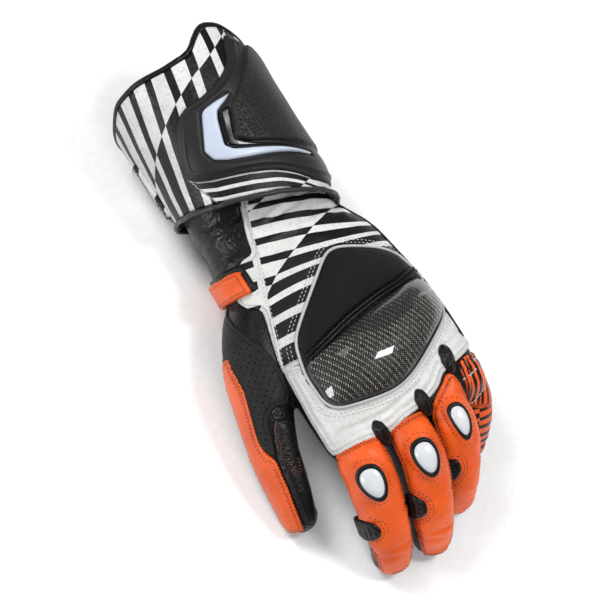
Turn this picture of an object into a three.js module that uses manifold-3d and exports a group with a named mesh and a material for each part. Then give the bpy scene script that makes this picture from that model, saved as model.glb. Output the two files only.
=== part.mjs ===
// A left-hand motorcycle racing glove with a gauntlet cuff, lying palm down as if a hand were in it.
// Millimetres: x runs to the little finger, y from the fingertips to the cuff, z up.
// The origin is the centre of the bounding box, at the bottom.

import * as THREE from 'three';
import { mergeVertices } from 'three/addons/utils/BufferGeometryUtils.js';
import Module from 'manifold-3d';

const wasm = await Module();
wasm.setup();

// Leather and gaps
const WALL = 1.8;           // the main shells
const PANEL = 1.2;          // a panel sewn on a shell
const GAP = 0.3;            // between one piece and the next
const BENT_GAP = 0.7;       // under a piece that is bent round another, as both have flat facets
const ON_PANEL = GAP + PANEL + BENT_GAP;
const ON_BACK = BENT_GAP + PANEL + BENT_GAP;

// Sides of the round sections
const HAND_SIDES = 28;
const HAND_LINING_SIDES = 12;
const FINGER_SIDES = 12;
const LINING_SIDES = 8;
const THUMB_SIDES = 14;
const CUFF_SIDES = 28;
const CORD_SIDES = 5;
const TEARDROP_SIDES = 10;

// Hard parts and pads
const SHELL_EDGE = 1.6;
const SHELL_CROWN = 9;
const SHELL_WALL = 2.6;
const PAD_EDGE = 1.4;
const PAD_CROWN = 3.2;
const PLATE = 2.6;
const PLATE_TOP = BENT_GAP + PLATE + BENT_GAP;
const INLAY = 1.2;
const RIM_RAISE = 1.5;
const SLIDER_RAISE = 1.9;
const THUMB_PAD = 2.4;
const VENT = 0.8;
const GUSSET_RADII = [4.8, 9.4, 4.4];

// Cords and straps
const BINDING_RADIUS = 1.7;
const HEM_RADIUS = 1.6;
const HEM_RAISE = 0.6;
const PIPING_RADIUS = 1.0;
const TRIM_RADIUS = 1.4;
const STRAP = 1.6;
const KEEPER = 2.2;

// Colours, roughness and metalness of the materials
const MATERIALS = {
  orange: { color: '#e85e2e', roughness: 0.5, metalness: 0 },
  white: { color: '#e6e6e4', roughness: 0.5, metalness: 0 },
  black: { color: '#1a1a1c', roughness: 0.6, metalness: 0 },
  grey: { color: '#3a3b3a', roughness: 0.65, metalness: 0 },
  plate: { color: '#3c3c3e', roughness: 0.5, metalness: 0 },
  piping: { color: '#8d8f92', roughness: 0.5, metalness: 0 },
  inlay: { color: '#d9e1f0', roughness: 0.35, metalness: 0 },
  carbon: { color: '#1c1c1c', roughness: 0.2, metalness: 0.2 },
};

function table(columns, rows) {
  return rows.map((row) => Object.fromEntries(columns.map((name, i) => [name, row[i]])));
}

// Sections of the hand, from the sleeve end inside the cuff to the knuckles.
// x and z are the centre, half the half width, up and down the heights, power the squareness.
const HAND = table(['y', 'x', 'z', 'half', 'up', 'down', 'power'], [
  [93, 4.6, 38.6, 40.5, 34.7, 36.1, 2.2],
  [78, 7.0, 33.5, 38.2, 28.0, 28.5, 2.3],
  [62, 8.6, 30.0, 39.0, 24.0, 23.5, 2.3],
  [44, 10.6, 30.0, 40.6, 24.0, 23.6, 2.3],
  [23, 15.5, 31.0, 47.5, 24.0, 27.0, 2.4],
  [0, 19.5, 33.0, 49.0, 23.0, 27.0, 2.5],
  [-25, 22.0, 36.0, 50.5, 23.0, 25.0, 2.6],
  [-50, 22.0, 39.5, 51.0, 22.0, 21.5, 2.7],
  [-70, 22.0, 41.0, 51.0, 19.5, 18.0, 2.7],
  [-82, 22.0, 41.0, 50.0, 16.0, 16.0, 2.6],
]);
const HAND_NOSE = { length: 9, narrowing: 16 };
const SLEEVE_END = 0.1;     // the outside of the hand starts this far into the table

// Centre lines of the fingers, from inside the hand to the last joint. The root is where the finger leaves
// the hand, nose the length of its tip and roll its turn about its own line.
const FINGER_COLUMNS = ['x', 'y', 'z', 'half', 'up', 'down'];
const FINGERS = {
  index: {
    nose: 10,
    roll: 14,
    root: 1.42,
    rows: table(FINGER_COLUMNS, [
      [-8, -55, 42, 12.0, 12.0, 12.5],
      [-13, -80, 43, 12.6, 12.4, 12.5],
      [-15, -104, 42.5, 13.6, 13.2, 13.0],
      [-15, -122, 32.2, 12.9, 11.8, 12.5],
      [-14.5, -136, 20.6, 11.8, 11.0, 11.5],
      [-14, -144, 9.4, 10.8, 9.6, 10.8],
    ]),
  },
  middle: {
    nose: 10,
    roll: 8,
    root: 1.38,
    rows: table(FINGER_COLUMNS, [
      [14, -58, 44, 11.6, 12.0, 12.5],
      [15, -82, 45, 12.1, 12.2, 12.5],
      [15.5, -106, 44.5, 12.9, 13.2, 13.0],
      [13.7, -125, 34.2, 12.3, 12.0, 12.5],
      [12, -138, 21, 11.4, 11.0, 11.5],
      [11.4, -146, 9.4, 10.6, 9.6, 10.8],
    ]),
  },
  ring: {
    nose: 9,
    roll: 2,
    root: 1.48,
    rows: table(FINGER_COLUMNS, [
      [38, -56, 42, 11.4, 11.8, 12.0],
      [41.5, -77, 43, 11.8, 11.8, 12.0],
      [43, -99, 41.5, 12.2, 12.6, 12.5],
      [40.2, -116, 31.5, 11.2, 11.4, 12.0],
      [36.8, -127, 18.6, 10.5, 10.4, 11.0],
      [35.8, -132, 8.6, 9.9, 9.2, 10.3],
    ]),
  },
  little: {
    nose: 8,
    roll: -6,
    root: 1.32,
    rows: table(FINGER_COLUMNS, [
      [60, -48, 37, 10.2, 10.8, 11.5],
      [63.5, -68, 36.5, 10.3, 10.8, 11.5],
      [64.8, -86, 33, 10.2, 10.8, 11.0],
      [63.3, -98, 24.5, 9.8, 9.8, 10.5],
      [61.2, -105, 15.4, 9.2, 9.0, 9.8],
      [60, -109, 7.6, 8.6, 8.2, 9.4],
    ]),
  },
  thumb: {
    nose: 9,
    roll: 0,
    root: 0.5,
    rows: table(FINGER_COLUMNS, [
      [3, 24, 31, 11.0, 13.0, 14.0],
      [-18, 4, 28, 18.8, 18.8, 19.0],
      [-33, -20, 26.5, 18.8, 18.3, 18.5],
      [-42, -44, 23.5, 15.3, 15.8, 16.5],
      [-47.6, -68, 18.8, 12.8, 13.3, 14.0],
      [-49, -90, 13.9, 11.0, 11.5, 12.4],
      [-49, -102, 9.3, 9.6, 9.6, 10.4],
    ]),
  },
};
const FINGER_POWER = 2.15;
const BACK_STEP = 24;
const SEAM_ANGLE = 3;
const SEAM_STATION = 0.03;
const FINGER_STATIONS = [0, 1, 2, 2.5, 3, 3.5, 4, 4.5, 5, 5.4, 5.8];
const THUMB_STATIONS = [0, 1, 2, 2.5, 3, 4, 5, 6, 6.4, 6.8];

// Sections of the cuff from the wrist to the forearm.
const CUFF = table(['y', 'x', 'z', 'half', 'up', 'down', 'power'], [
  [40, 12.2, 33.0, 43.4, 32.0, 31.5, 2.2],
  [57, 9.6, 35.0, 43.6, 33.5, 33.5, 2.2],
  [85, 5.4, 38.0, 43.0, 36.5, 38.4, 2.2],
  [110, 2.8, 40.0, 43.4, 39.0, 41.8, 2.2],
  [140, 0.3, 42.0, 44.4, 41.0, 43.8, 2.2],
  [165, -2.0, 42.0, 45.0, 41.5, 43.8, 2.2],
]);
// Where the cuff starts and ends, by the angle round it: 0 little-finger side, 90 top, 180 thumb side.
const CUFF_EDGES = table(['angle', 'hem', 'rim'], [
  [0, 43, 138],
  [20, 45, 139],
  [40, 47, 145],
  [55, 49, 152],
  [70, 52, 154],
  [80, 55, 149],
  [90, 57, 141],
  [110, 61, 139],
  [135, 66, 140],
  [160, 70, 138],
  [180, 72, 132],
  [205, 72, 126],
  [225, 72, 124],
  [270, 62, 124],
  [315, 48, 128],
  [360, 43, 138],
]);

// Panels drawn from above, in x and y
const BACK_PANEL = [
  [-3, 65], [-8, 54], [-11, 43], [-14, 32], [-17.5, 20], [-22, 6], [-26, -10], [-29.5, -24],
  [-31, -33.2], [-22, -35.6], [0, -40], [30, -40], [56, -34], [70, -22], [71, -8], [68, 10],
  [63, 26], [57, 42], [52, 58], [30, 66],
];
const KNUCKLE_BAND = [
  [-31, -37], [-31, -52], [-31, -68], [-30, -84.5], [-17, -86.8], [-5, -87.6], [4, -88.2], [13, -86.5],
  [24, -84.3], [34, -81.5], [40, -78.4], [45, -74], [50, -72.4], [57, -70.8], [67, -67.8], [77, -62],
  [78, -36], [68, -32], [54, -41], [36, -48], [14, -53], [-8, -48], [-17, -41],
];
const BACK_PAD = [
  [25, 14.7], [42, 9.5], [55.7, 2.5], [63, -4.4], [61, -11.5], [51, -14.6], [36, -16.2], [14, -20.4],
  [-6, -26.2], [-17, -29], [-18.6, -25.9], [-16, -19.8], [-8.7, -12.7], [0.4, -4.6], [10.4, 3.4], [18, 10.3],
];
const KNUCKLE_SHELL = [
  [-20.6, -38], [-3.8, -32.2], [19, -26.6], [42, -22.5], [60, -20], [68, -24], [69.5, -33], [67.5, -40.5],
  [62, -46], [51, -53], [37, -61.2], [26, -66.5], [15.8, -69], [3.2, -68.4], [-11, -65.8], [-18.4, -63.3],
  [-21.4, -58.2], [-21.8, -50],
];
const KNUCKLE_TRIM = [[66, -14.2], [50, -18], [36, -19.6], [14, -23.8], [-6, -29.6], [-18, -33]];
const SIDE_PIPING = { angle: 26, y: [40, -20] };
const THUMB_WEB = [
  [-31, 14], [-41, 11], [-51, 2], [-55, -10], [-55.5, -20], [-53.6, -28], [-55.4, -40], [-58.4, -54],
  [-57.6, -64.5], [-54.5, -68], [-50.6, -58], [-49, -50.4], [-43.5, -46.8], [-34.5, -48.4], [-31.8, -42], [-31.6, -30],
  [-31.6, -17], [-32.2, -9], [-34.2, 3.5], [-32, 12],
];

// Bands of a surface: from one edge to the other at each station
const BACK_COLUMNS = ['t', 'from', 'to'];
const FINGER_BACKS = {
  index: table(BACK_COLUMNS, [
    [FINGERS.index.root, 20, 196], [2, 18, 196], [2.5, 18, 194], [3, 18, 192], [3.5, 18, 190], [4, 20, 172], [4.5, 24, 158],
    [5, 30, 150], [5.4, 36, 144],
  ]),
  middle: table(BACK_COLUMNS, [
    [FINGERS.middle.root, 22, 158], [2, 20, 160], [2.5, 18, 162], [3, 18, 162], [3.5, 18, 162], [4, 20, 158], [4.5, 24, 150],
    [5, 30, 144], [5.4, 36, 140],
  ]),
  ring: table(BACK_COLUMNS, [
    [FINGERS.ring.root, 24, 156], [2, 18, 162], [2.5, 16, 162], [3, 14, 162], [3.5, 12, 162], [4, 12, 158], [4.5, 18, 152],
    [5, 26, 146], [5.4, 36, 142],
  ]),
  little: table(BACK_COLUMNS, [
    [FINGERS.little.root, -14, 144], [2, -14, 150], [2.5, -14, 154], [3, -12, 156], [3.5, -10, 158], [4, -4, 154], [4.5, 6, 148],
    [5, 20, 142], [5.4, 30, 140],
  ]),
};
const THUMB_BACK = table(BACK_COLUMNS, [
  [2.2, 160, 214], [2.5, 150, 216], [3, 147, 217], [3.6, 149, 217], [4, 142, 217], [4.3, 124, 217], [5, 120, 217],
  [5.5, 117, 215], [6, 114, 212], [6.4, 112, 208],
]);
const THUMB_PAD_BAND = table(BACK_COLUMNS, [
  [3.22, 60, 96], [3.5, 50, 102], [4, 42, 106], [4.5, 42, 112], [5, 46, 112], [5.5, 52, 108], [6, 58, 106],
  [6.4, 66, 102],
]);
const VENTS = {
  index: table(BACK_COLUMNS, [[2.9, 124, 176], [3.1, 118, 182], [3.3, 128, 176]]),
  middle: table(BACK_COLUMNS, [[2.72, 128, 156], [2.95, 118, 158], [3.2, 126, 156]]),
  ring: table(BACK_COLUMNS, [[2.72, 114, 136], [2.95, 104, 138], [3.15, 112, 136]]),
};
const SLIDERS = {
  index: { angle: 100, t: 2.02, half: 7.0, length: 10.5, turn: 14 },
  middle: { angle: 94, t: 1.96, half: 6.4, length: 10, turn: 12 },
  ring: { angle: 88, t: 1.9, half: 5.8, length: 9.6, turn: 8 },
};
const GUSSETS = table(['x', 'y', 'z', 'turn', 'tilt', 'base'], [
  [-1.6, -87, 54.8, 16, -24, ON_BACK],
  [27.4, -83, 57.6, 8, -18, ON_BACK],
  [51.6, -68, 60, -6, -10, GAP + PANEL + GAP],
]);

// Pieces of the cuff: low and high edge in y at each angle
const CUFF_COLUMNS = ['angle', 'low', 'high'];
const CUFF_PLATE = table(CUFF_COLUMNS, [
  [140, 83, 89], [135, 80, 98], [124, 76.5, 111], [112, 74, 116.6], [97, 70.8, 118.4], [82, 66.3, 123.4],
  [69, 61, 131.5], [56, 55, 146], [40, 52, 140], [20, 51, 134], [4, 51, 130],
]);
const PLATE_PAD = table(CUFF_COLUMNS, [
  [84, 89, 109], [79, 85.5, 111], [68, 82, 117], [59, 79.5, 129], [50, 77, 137], [36, 74, 134], [20, 71.5, 129],
  [8, 70, 125],
]);
const GLOSS_INSET = table(CUFF_COLUMNS, [[93.5, 93, 104], [87, 91, 107.5]]);
const CUFF_FLAP = table(CUFF_COLUMNS, [[186, 77, 112], [200, 77, 113], [216, 77, 113], [232, 76, 112]]);
const CHEVRON = table(['outerAngle', 'outerY', 'innerAngle', 'innerY'], [
  [84.5, 113.4, 86.5, 111.8],
  [102, 109.7, 96, 106.8],
  [109, 106.4, 98, 103],
  [114.5, 100, 100, 97.8],
  [118, 92.9, 101, 94],
  [120, 87.5, 102, 90.4],
  [116, 84, 100, 87.4],
  [99, 80.4, 97, 86.2],
  [80, 76.8, 77, 80.6],
  [57, 70.7, 53, 74],
  [46, 68, 45, 69.2],
]);
const WRIST_STRAP = { angles: [134, 226], y: [18, 35.5], base: BENT_GAP };
const STRAP_KEEPER = { angles: [131, 230], y: [19, 31.5], base: BENT_GAP + STRAP + BENT_GAP };

// Every column of a table at a place between its rows, on a curve through them.
function between(rows, t) {
  const last = rows.length - 1;
  const place = THREE.MathUtils.clamp(t, 0, last);
  const i = Math.min(Math.floor(place), last - 1);
  const f = place - i;
  const row = {};
  for (const name of Object.keys(rows[0])) {
    const b = rows[i][name];
    const c = rows[i + 1][name];
    const a = i > 0 ? rows[i - 1][name] : 2 * b - c;
    const d = i < last - 1 ? rows[i + 2][name] : 2 * c - b;
    const curve = (3 * b - a - 3 * c + d) * f ** 3 + (2 * a - 5 * b + 4 * c - d) * f ** 2;
    row[name] = 0.5 * (curve + (c - a) * f + 2 * b);
  }
  return row;
}

// Straight lines through the rows, looked up by one column.
function lookUp(rows, key, value) {
  const up = rows[0][key] < rows[rows.length - 1][key];
  const i = rows.findIndex((row, k) => k > 0 && (up ? row[key] >= value : row[key] <= value));
  const end = i < 0 ? rows.length - 1 : i;
  const f = THREE.MathUtils.clamp((value - rows[end - 1][key]) / (rows[end][key] - rows[end - 1][key]), 0, 1);
  const row = {};
  for (const name of Object.keys(rows[0])) {
    row[name] = THREE.MathUtils.lerp(rows[end - 1][name], rows[end][name], f);
  }
  return row;
}

// The place in a table of sections, where its y has a given value.
function placeOfY(rows, y) {
  let low = 0;
  let high = rows.length - 1;
  const falling = rows[0].y > rows[high].y;
  for (let step = 0; step < 24; step += 1) {
    const middle = (low + high) / 2;
    if ((between(rows, middle).y > y) === falling) {
      low = middle;
    } else {
      high = middle;
    }
  }
  return (low + high) / 2;
}

function superellipse(degrees, half, up, down, power) {
  const angle = THREE.MathUtils.degToRad(degrees);
  const c = Math.cos(angle);
  const s = Math.sin(angle);
  return {
    side: half * Math.sign(c) * Math.abs(c) ** (2 / power),
    lift: (s > 0 ? up : down) * Math.sign(s) * Math.abs(s) ** (2 / power),
  };
}

// Leather flattens where it rests; the inside stays a wall above that.
function rested(point, grow) {
  point.z = Math.max(point.z, grow < 0 ? -grow : 0);
  return point;
}

// A point of a section that stands across y.
function crossPoint(row, degrees, grow) {
  const { side, lift } = superellipse(degrees, row.half + grow, row.up + grow, row.down + grow, row.power);
  return rested(new THREE.Vector3(row.x + side, row.y, row.z + lift), grow);
}

// The hand: past its last section it rounds off to the finger roots.
function handPoint(degrees, t, grow) {
  const last = HAND.length - 1;
  const row = between(HAND, t);
  const turn = Math.max(t - last, 0) * Math.PI / 2;
  row.half -= HAND_NOSE.narrowing * (1 - Math.cos(turn));
  row.up = (row.up + grow) * Math.cos(turn) - grow;
  row.down = (row.down + grow) * Math.cos(turn) - grow;
  row.y -= Math.sin(turn) * (HAND_NOSE.length + grow);
  return crossPoint(row, degrees, grow);
}

// The height of the back of the hand above x and y.
function handTop(x, y, grow) {
  const row = between(HAND, placeOfY(HAND, y));
  const across = Math.min(Math.abs(x - row.x) / (row.half + grow), 1);
  return row.z + (row.up + grow) * (1 - across ** row.power) ** (1 / row.power);
}

// A finger: sections across its bent centre line, with a round tip past the last one.
function fingerPoint(finger, degrees, t, grow) {
  const { rows, nose, roll } = finger;
  const last = rows.length - 1;
  const row = between(rows, t);
  const reach = Math.min(t + 0.01, last);
  const before = between(rows, reach - 0.02);
  const after = between(rows, reach);
  const ahead = new THREE.Vector3(after.x - before.x, after.y - before.y, after.z - before.z).normalize();
  const side = new THREE.Vector3(0, 0, 1).cross(ahead).normalize();
  const lift = new THREE.Vector3().crossVectors(ahead, side);
  side.applyAxisAngle(ahead, THREE.MathUtils.degToRad(roll));
  lift.applyAxisAngle(ahead, THREE.MathUtils.degToRad(roll));
  const turn = Math.max(t - last, 0) * Math.PI / 2;
  const section = superellipse(degrees, row.half + grow, row.up + grow, row.down + grow, FINGER_POWER);
  const point = new THREE.Vector3(row.x, row.y, row.z);
  point.addScaledVector(ahead, Math.sin(turn) * (nose + grow));
  point.addScaledVector(side, section.side * Math.cos(turn));
  point.addScaledVector(lift, section.lift * Math.cos(turn));
  return rested(point, grow);
}

function cuffPointAtY(degrees, y, grow) {
  return crossPoint(between(CUFF, placeOfY(CUFF, y)), degrees, grow);
}

// The cuff between its hem, v = 0, and its rim, v = 1.
function cuffPoint(degrees, v, grow) {
  const { hem, rim } = lookUp(CUFF_EDGES, 'angle', ((degrees % 360) + 360) % 360);
  return cuffPointAtY(degrees, THREE.MathUtils.lerp(hem, rim, v), grow);
}

// A solid from points and triangles, turned so that its faces point out.
function solidOf(points, triangles) {
  let volume = 0;
  for (const [a, b, c] of triangles) {
    volume += points[a].dot(new THREE.Vector3().crossVectors(points[b], points[c]));
  }
  const faces = volume > 0 ? triangles : triangles.map(([a, b, c]) => [a, c, b]);
  const vertProperties = new Float32Array(points.flatMap((point) => point.toArray()));
  const triVerts = new Uint32Array(faces.flat());
  return new wasm.Manifold(new wasm.Mesh({ numProp: 3, vertProperties, triVerts }));
}

// A solid through a stack of rings with the same count. An open stack is closed at both ends.
function stack(rings, closed = false) {
  const count = rings[0].length;
  const at = (i, j) => (i % rings.length) * count + (j % count);
  const triangles = [];
  for (let i = 0; i < rings.length - (closed ? 0 : 1); i += 1) {
    for (let j = 0; j < count; j += 1) {
      triangles.push([at(i, j), at(i, j + 1), at(i + 1, j + 1)]);
      triangles.push([at(i, j), at(i + 1, j + 1), at(i + 1, j)]);
    }
  }
  if (!closed) {
    const end = (rings.length - 1) * count;
    for (const [a, b, c] of ladder(count)) {
      triangles.push([b, a, c], [end + a, end + b, end + c]);
    }
  }
  return solidOf(rings.flat(), triangles);
}

// Triangles that fill a ring, between its first half and its second.
function ladder(count) {
  const triangles = [];
  for (let j = 0, k = count - 1; j + 1 < k; j += 1, k -= 1) {
    triangles.push([j, j + 1, k]);
    if (j + 1 < k - 1) {
      triangles.push([j + 1, k - 1, k]);
    }
  }
  return triangles;
}

function steps(count, from, to) {
  return Array.from({ length: count + 1 }, (_, i) => THREE.MathUtils.lerp(from, to, i / count));
}

// A table of edges made smooth, with more rows.
function smoothRows(rows, count) {
  return steps(count, 0, rows.length - 1).map((t) => between(rows, t));
}

function loft(surface, stations, sides, grow) {
  const angles = steps(sides, 0, 360).slice(0, sides);
  return stack(stations.map((t) => angles.map((angle) => surface(angle, t, grow))));
}

// A slab laid on a surface: a ring of points per row, outside first and back along the inside.
function slab(rows, columns, point, base, thickness) {
  const across = steps(columns, 0, 1);
  return stack(rows.map((row) => [
    ...across.map((f) => point(row, f, base + thickness)),
    ...across.toReversed().map((f) => point(row, f, base)),
  ]));
}

// A band of a finger, from one angle to another at each station.
function fingerBand(finger, rows, columns, base, thickness) {
  const point = (row, f, grow) => fingerPoint(finger, THREE.MathUtils.lerp(row.from, row.to, f), row.t, grow);
  return slab(rows, columns, point, base, thickness);
}

// The room that a band takes, wider by a seam, for cutting the leather beside it.
function seamRoom(finger, rows) {
  const wider = rows.map(({ t, from, to }) => ({ t, from: from - SEAM_ANGLE, to: to + SEAM_ANGLE }));
  wider[0].t -= SEAM_STATION;
  wider[rows.length - 1].t += SEAM_STATION;
  return fingerBand(finger, wider, 4, -PANEL, 5 * PANEL);
}

// A piece of the cuff, between a low and a high edge at each angle.
function cuffBand(rows, columns, base, thickness) {
  const point = (row, f, grow) => cuffPointAtY(row.angle, THREE.MathUtils.lerp(row.low, row.high, f), grow);
  return slab(rows, columns, point, base, thickness);
}

// A band round the wrist on the thumb side.
function wristBand({ angles, y, base }, thickness) {
  const places = y.map((value) => placeOfY(HAND, value));
  const point = (angle, f, grow) => handPoint(angle, THREE.MathUtils.lerp(places[0], places[1], f), grow);
  return slab(steps(9, angles[0], angles[1]), 2, point, base, thickness);
}

// A round cord through points, joined to itself if closed. The reference says which way its side faces.
function cord(points, radius, reference, closed) {
  const count = points.length;
  const rings = points.map((point, i) => {
    const next = closed ? points[(i + 1) % count] : points[Math.min(i + 1, count - 1)];
    const previous = closed ? points[(i + count - 1) % count] : points[Math.max(i - 1, 0)];
    const ahead = next.clone().sub(previous).normalize();
    const side = new THREE.Vector3().crossVectors(ahead, reference).normalize();
    const lift = new THREE.Vector3().crossVectors(side, ahead);
    return steps(CORD_SIDES, 0, 2 * Math.PI).slice(0, CORD_SIDES).map((angle) => point.clone()
      .addScaledVector(side, radius * Math.cos(angle))
      .addScaledVector(lift, radius * Math.sin(angle)));
  });
  return stack(rings, closed);
}

// A smooth line through outline points, spread evenly.
function smooth(outline, count, closed) {
  const points = outline.map(([x, y]) => new THREE.Vector3(x, y, 0));
  const line = new THREE.CatmullRomCurve3(points, closed, 'centripetal').getSpacedPoints(count);
  return closed ? line.slice(0, count) : line;
}

function laidOnHand(line, rise) {
  return line.map((point) => new THREE.Vector3(point.x, point.y, handTop(point.x, point.y, rise)));
}

function fromGeometry(geometry) {
  geometry.deleteAttribute('normal');
  geometry.deleteAttribute('uv');
  const merged = mergeVertices(geometry, 1e-4);
  const vertProperties = new Float32Array(merged.attributes.position.array);
  const triVerts = new Uint32Array(merged.index.array);
  return new wasm.Manifold(new wasm.Mesh({ numProp: 3, vertProperties, triVerts }));
}

// The outline seen from above as a block that starts at a height.
function blockOver(outline, count, bottom) {
  const shape = new THREE.Shape(smooth(outline, count, true).map((point) => new THREE.Vector2(point.x, point.y)));
  const block = new THREE.ExtrudeGeometry(shape, { depth: 60, bevelEnabled: false });
  return fromGeometry(block.translate(0, 0, bottom));
}

// The whole hand as one solid form, grown for the panels that lie on it.
const hands = new Map();
function handForm(grow) {
  if (!hands.has(grow)) {
    const parts = Object.keys(FINGERS).map((name) => fingerForm(name, grow));
    hands.set(grow, parts.reduce((form, part) => form.add(part), palmForm(grow)));
  }
  return hands.get(grow);
}

function palmForm(grow, sides = HAND_SIDES) {
  const last = HAND.length - 1;
  const start = grow < 0 ? 0 : SLEEVE_END;
  const nose = [0.45, 0.85].map((f) => last + f);
  return loft(handPoint, [start, 1, 2, 3, 4, 5, 6, 7, 8, last, ...nose], sides, grow);
}

function fingerForm(name, grow, sides = name === 'thumb' ? THUMB_SIDES : FINGER_SIDES) {
  const usual = name === 'thumb' ? THUMB_STATIONS : FINGER_STATIONS;
  const stations = [...usual, FINGERS[name].root].sort((a, b) => a - b);
  return loft((angle, t, g) => fingerPoint(FINGERS[name], angle, t, g), stations, sides, grow);
}

// A panel of leather that follows the hand inside an outline.
function panel(outline, count, bottom) {
  const layer = handForm(GAP + PANEL).subtract(handForm(GAP));
  return layer.intersect(blockOver(outline, count, bottom));
}

// A raised shape with a round crown, on the back of the hand.
function crowned(outline, count, { edge, crown, wall, roundness }) {
  const rim = smooth(outline, count, true);
  const centre = rim.reduce((sum, point) => sum.add(point), new THREE.Vector3()).divideScalar(count);
  const ring = (f, height) => rim.map((point) => {
    const place = centre.clone().lerp(point, f);
    const crest = edge + crown * (1 - f ** roundness);
    const rise = height === 'top' ? crest : Math.max(crest - wall, 0);
    return place.setZ(handTop(place.x, place.y, ON_PANEL) + rise);
  });
  const under = [0.14, 0.5, 0.78, 1].map((f) => ring(f, 'bottom'));
  const over = [1, 0.92, 0.7, 0.42, 0.14].map((f) => ring(f, 'top'));
  return stack([...under, ...over]);
}

// The teardrop plate on a finger joint, or the rim round it, between two fractions of its outline.
function teardrop(name, inner, outer, rise) {
  const { angle, t, half, length, turn } = SLIDERS[name];
  const finger = FINGERS[name];
  const base = ON_BACK;
  const centre = fingerPoint(finger, angle, t, base);
  const perDegree = fingerPoint(finger, angle + 1, t, base).distanceTo(centre);
  const perStation = fingerPoint(finger, angle, t + 0.1, base).distanceTo(centre) / 0.1;
  const lean = THREE.MathUtils.degToRad(turn);
  const ring = (f, grow) => steps(TEARDROP_SIDES, 0, 2 * Math.PI).slice(0, TEARDROP_SIDES).map((around) => {
    const across = half * f * Math.cos(around) * (1 - 0.2 * Math.sin(around));
    const along = length * f * Math.sin(around);
    const u = angle + (across * Math.cos(lean) + along * Math.sin(lean)) / perDegree;
    const v = t + (along * Math.cos(lean) - across * Math.sin(lean)) / perStation;
    return fingerPoint(finger, u, v, grow);
  });
  if (inner > 0) {
    return stack([ring(inner, base), ring(outer, base), ring(outer * 0.97, base + rise), ring(inner, base + rise)], true);
  }
  return stack([ring(0.2, base), ring(outer, base), ring(outer, base + rise * 0.7), ring(0.2, base + rise)]);
}

// The oval stretch piece between two finger roots.
function gusset({ x, y, z, turn, tilt, base }) {
  const ball = new THREE.SphereGeometry(1, 10, 6);
  ball.scale(...GUSSET_RADII);
  ball.rotateX(THREE.MathUtils.degToRad(-tilt));
  ball.rotateZ(THREE.MathUtils.degToRad(turn));
  ball.translate(x, y, z);
  return fromGeometry(ball).subtract(handForm(base));
}

// Hollow shells
function palmBody() {
  const inside = Object.keys(FINGERS).map((name) => fingerForm(name, -WALL, LINING_SIDES));
  return inside.reduce((body, part) => body.subtract(part), palmForm(0).subtract(palmForm(-WALL, HAND_LINING_SIDES)));
}

function stall(name) {
  return fingerForm(name, 0).subtract(fingerForm(name, -WALL, LINING_SIDES)).subtract(palmForm(GAP));
}

function cuffShell() {
  const angles = steps(CUFF_SIDES, 0, 360).slice(0, CUFF_SIDES);
  const heights = steps(4, 0, 1);
  return stack(angles.map((angle) => [
    ...heights.map((v) => cuffPoint(angle, v, 0)),
    ...heights.toReversed().map((v) => cuffPoint(angle, v, -WALL)),
  ]), true);
}

// A cord along an edge of the cuff, clear of it by the gap.
function cuffEdge(v, radius, grow) {
  const way = v > 0 ? 1 : -1;
  const line = steps(CUFF_SIDES, 0, 360).slice(0, CUFF_SIDES).map((angle) => {
    const point = cuffPoint(angle, v, grow);
    point.y += way * (radius + BENT_GAP);
    point.z = Math.max(point.z, radius);
    return point;
  });
  return cord(line, radius, new THREE.Vector3(0, 1, 0), true);
}

function chevron() {
  const point = (row, f, grow) => cuffPointAtY(
    THREE.MathUtils.lerp(row.outerAngle, row.innerAngle, f),
    THREE.MathUtils.lerp(row.outerY, row.innerY, f),
    grow,
  );
  return slab(smoothRows(CHEVRON, 14), 1, point, PLATE_TOP, INLAY);
}

const glove = new THREE.Group();

function add(name, solid, material) {
  const { vertProperties, triVerts } = solid.getMesh();
  const geometry = new THREE.BufferGeometry();
  geometry.setAttribute('position', new THREE.BufferAttribute(vertProperties, 3));
  geometry.setIndex(new THREE.BufferAttribute(triVerts, 1));
  geometry.computeVertexNormals();
  const mesh = new THREE.Mesh(geometry, new THREE.MeshStandardMaterial(MATERIALS[material]));
  mesh.name = name;
  glove.add(mesh);
}

// The hand and its fingers
const UP = new THREE.Vector3(0, 0, 1);
add('palm_body', palmBody(), 'black');
for (const name of Object.keys(FINGERS)) {
  add(`${name}_stall`, stall(name), 'black');
}
for (const [name, rows] of Object.entries(FINGER_BACKS)) {
  const columns = Math.ceil((rows[0].to - rows[0].from) / BACK_STEP);
  const back = fingerBand(FINGERS[name], rows, columns, BENT_GAP, PANEL);
  add(`${name}_back`, back.subtract(palmForm(ON_PANEL)), 'orange');
}
add('thumb_back', fingerBand(FINGERS.thumb, THUMB_BACK, 4, BENT_GAP, PANEL), 'orange');
add('thumb_pad', fingerBand(FINGERS.thumb, THUMB_PAD_BAND, 4, BENT_GAP, THUMB_PAD), 'black');

// Panels on the back of the hand
add('back_panel', panel(BACK_PANEL, 32, 40), 'white');
add('knuckle_band', panel(KNUCKLE_BAND, 36, 44), 'white');
const thumbSeams = [THUMB_BACK, THUMB_PAD_BAND].map((rows) => seamRoom(FINGERS.thumb, rows));
add('thumb_web', thumbSeams.reduce((web, room) => web.subtract(room), panel(THUMB_WEB, 32, 27)), 'grey');
add('back_pad', crowned(BACK_PAD, 28, { edge: PAD_EDGE, crown: PAD_CROWN, wall: 9, roundness: 4 }), 'grey');
add('knuckle_shell', crowned(KNUCKLE_SHELL, 30, {
  edge: SHELL_EDGE,
  crown: SHELL_CROWN,
  wall: SHELL_WALL,
  roundness: 2.6,
}), 'carbon');
const trimLine = laidOnHand(smooth(KNUCKLE_TRIM, 12, false), ON_PANEL + TRIM_RADIUS);
add('knuckle_trim', cord(trimLine, TRIM_RADIUS, UP, false), 'black');
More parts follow.
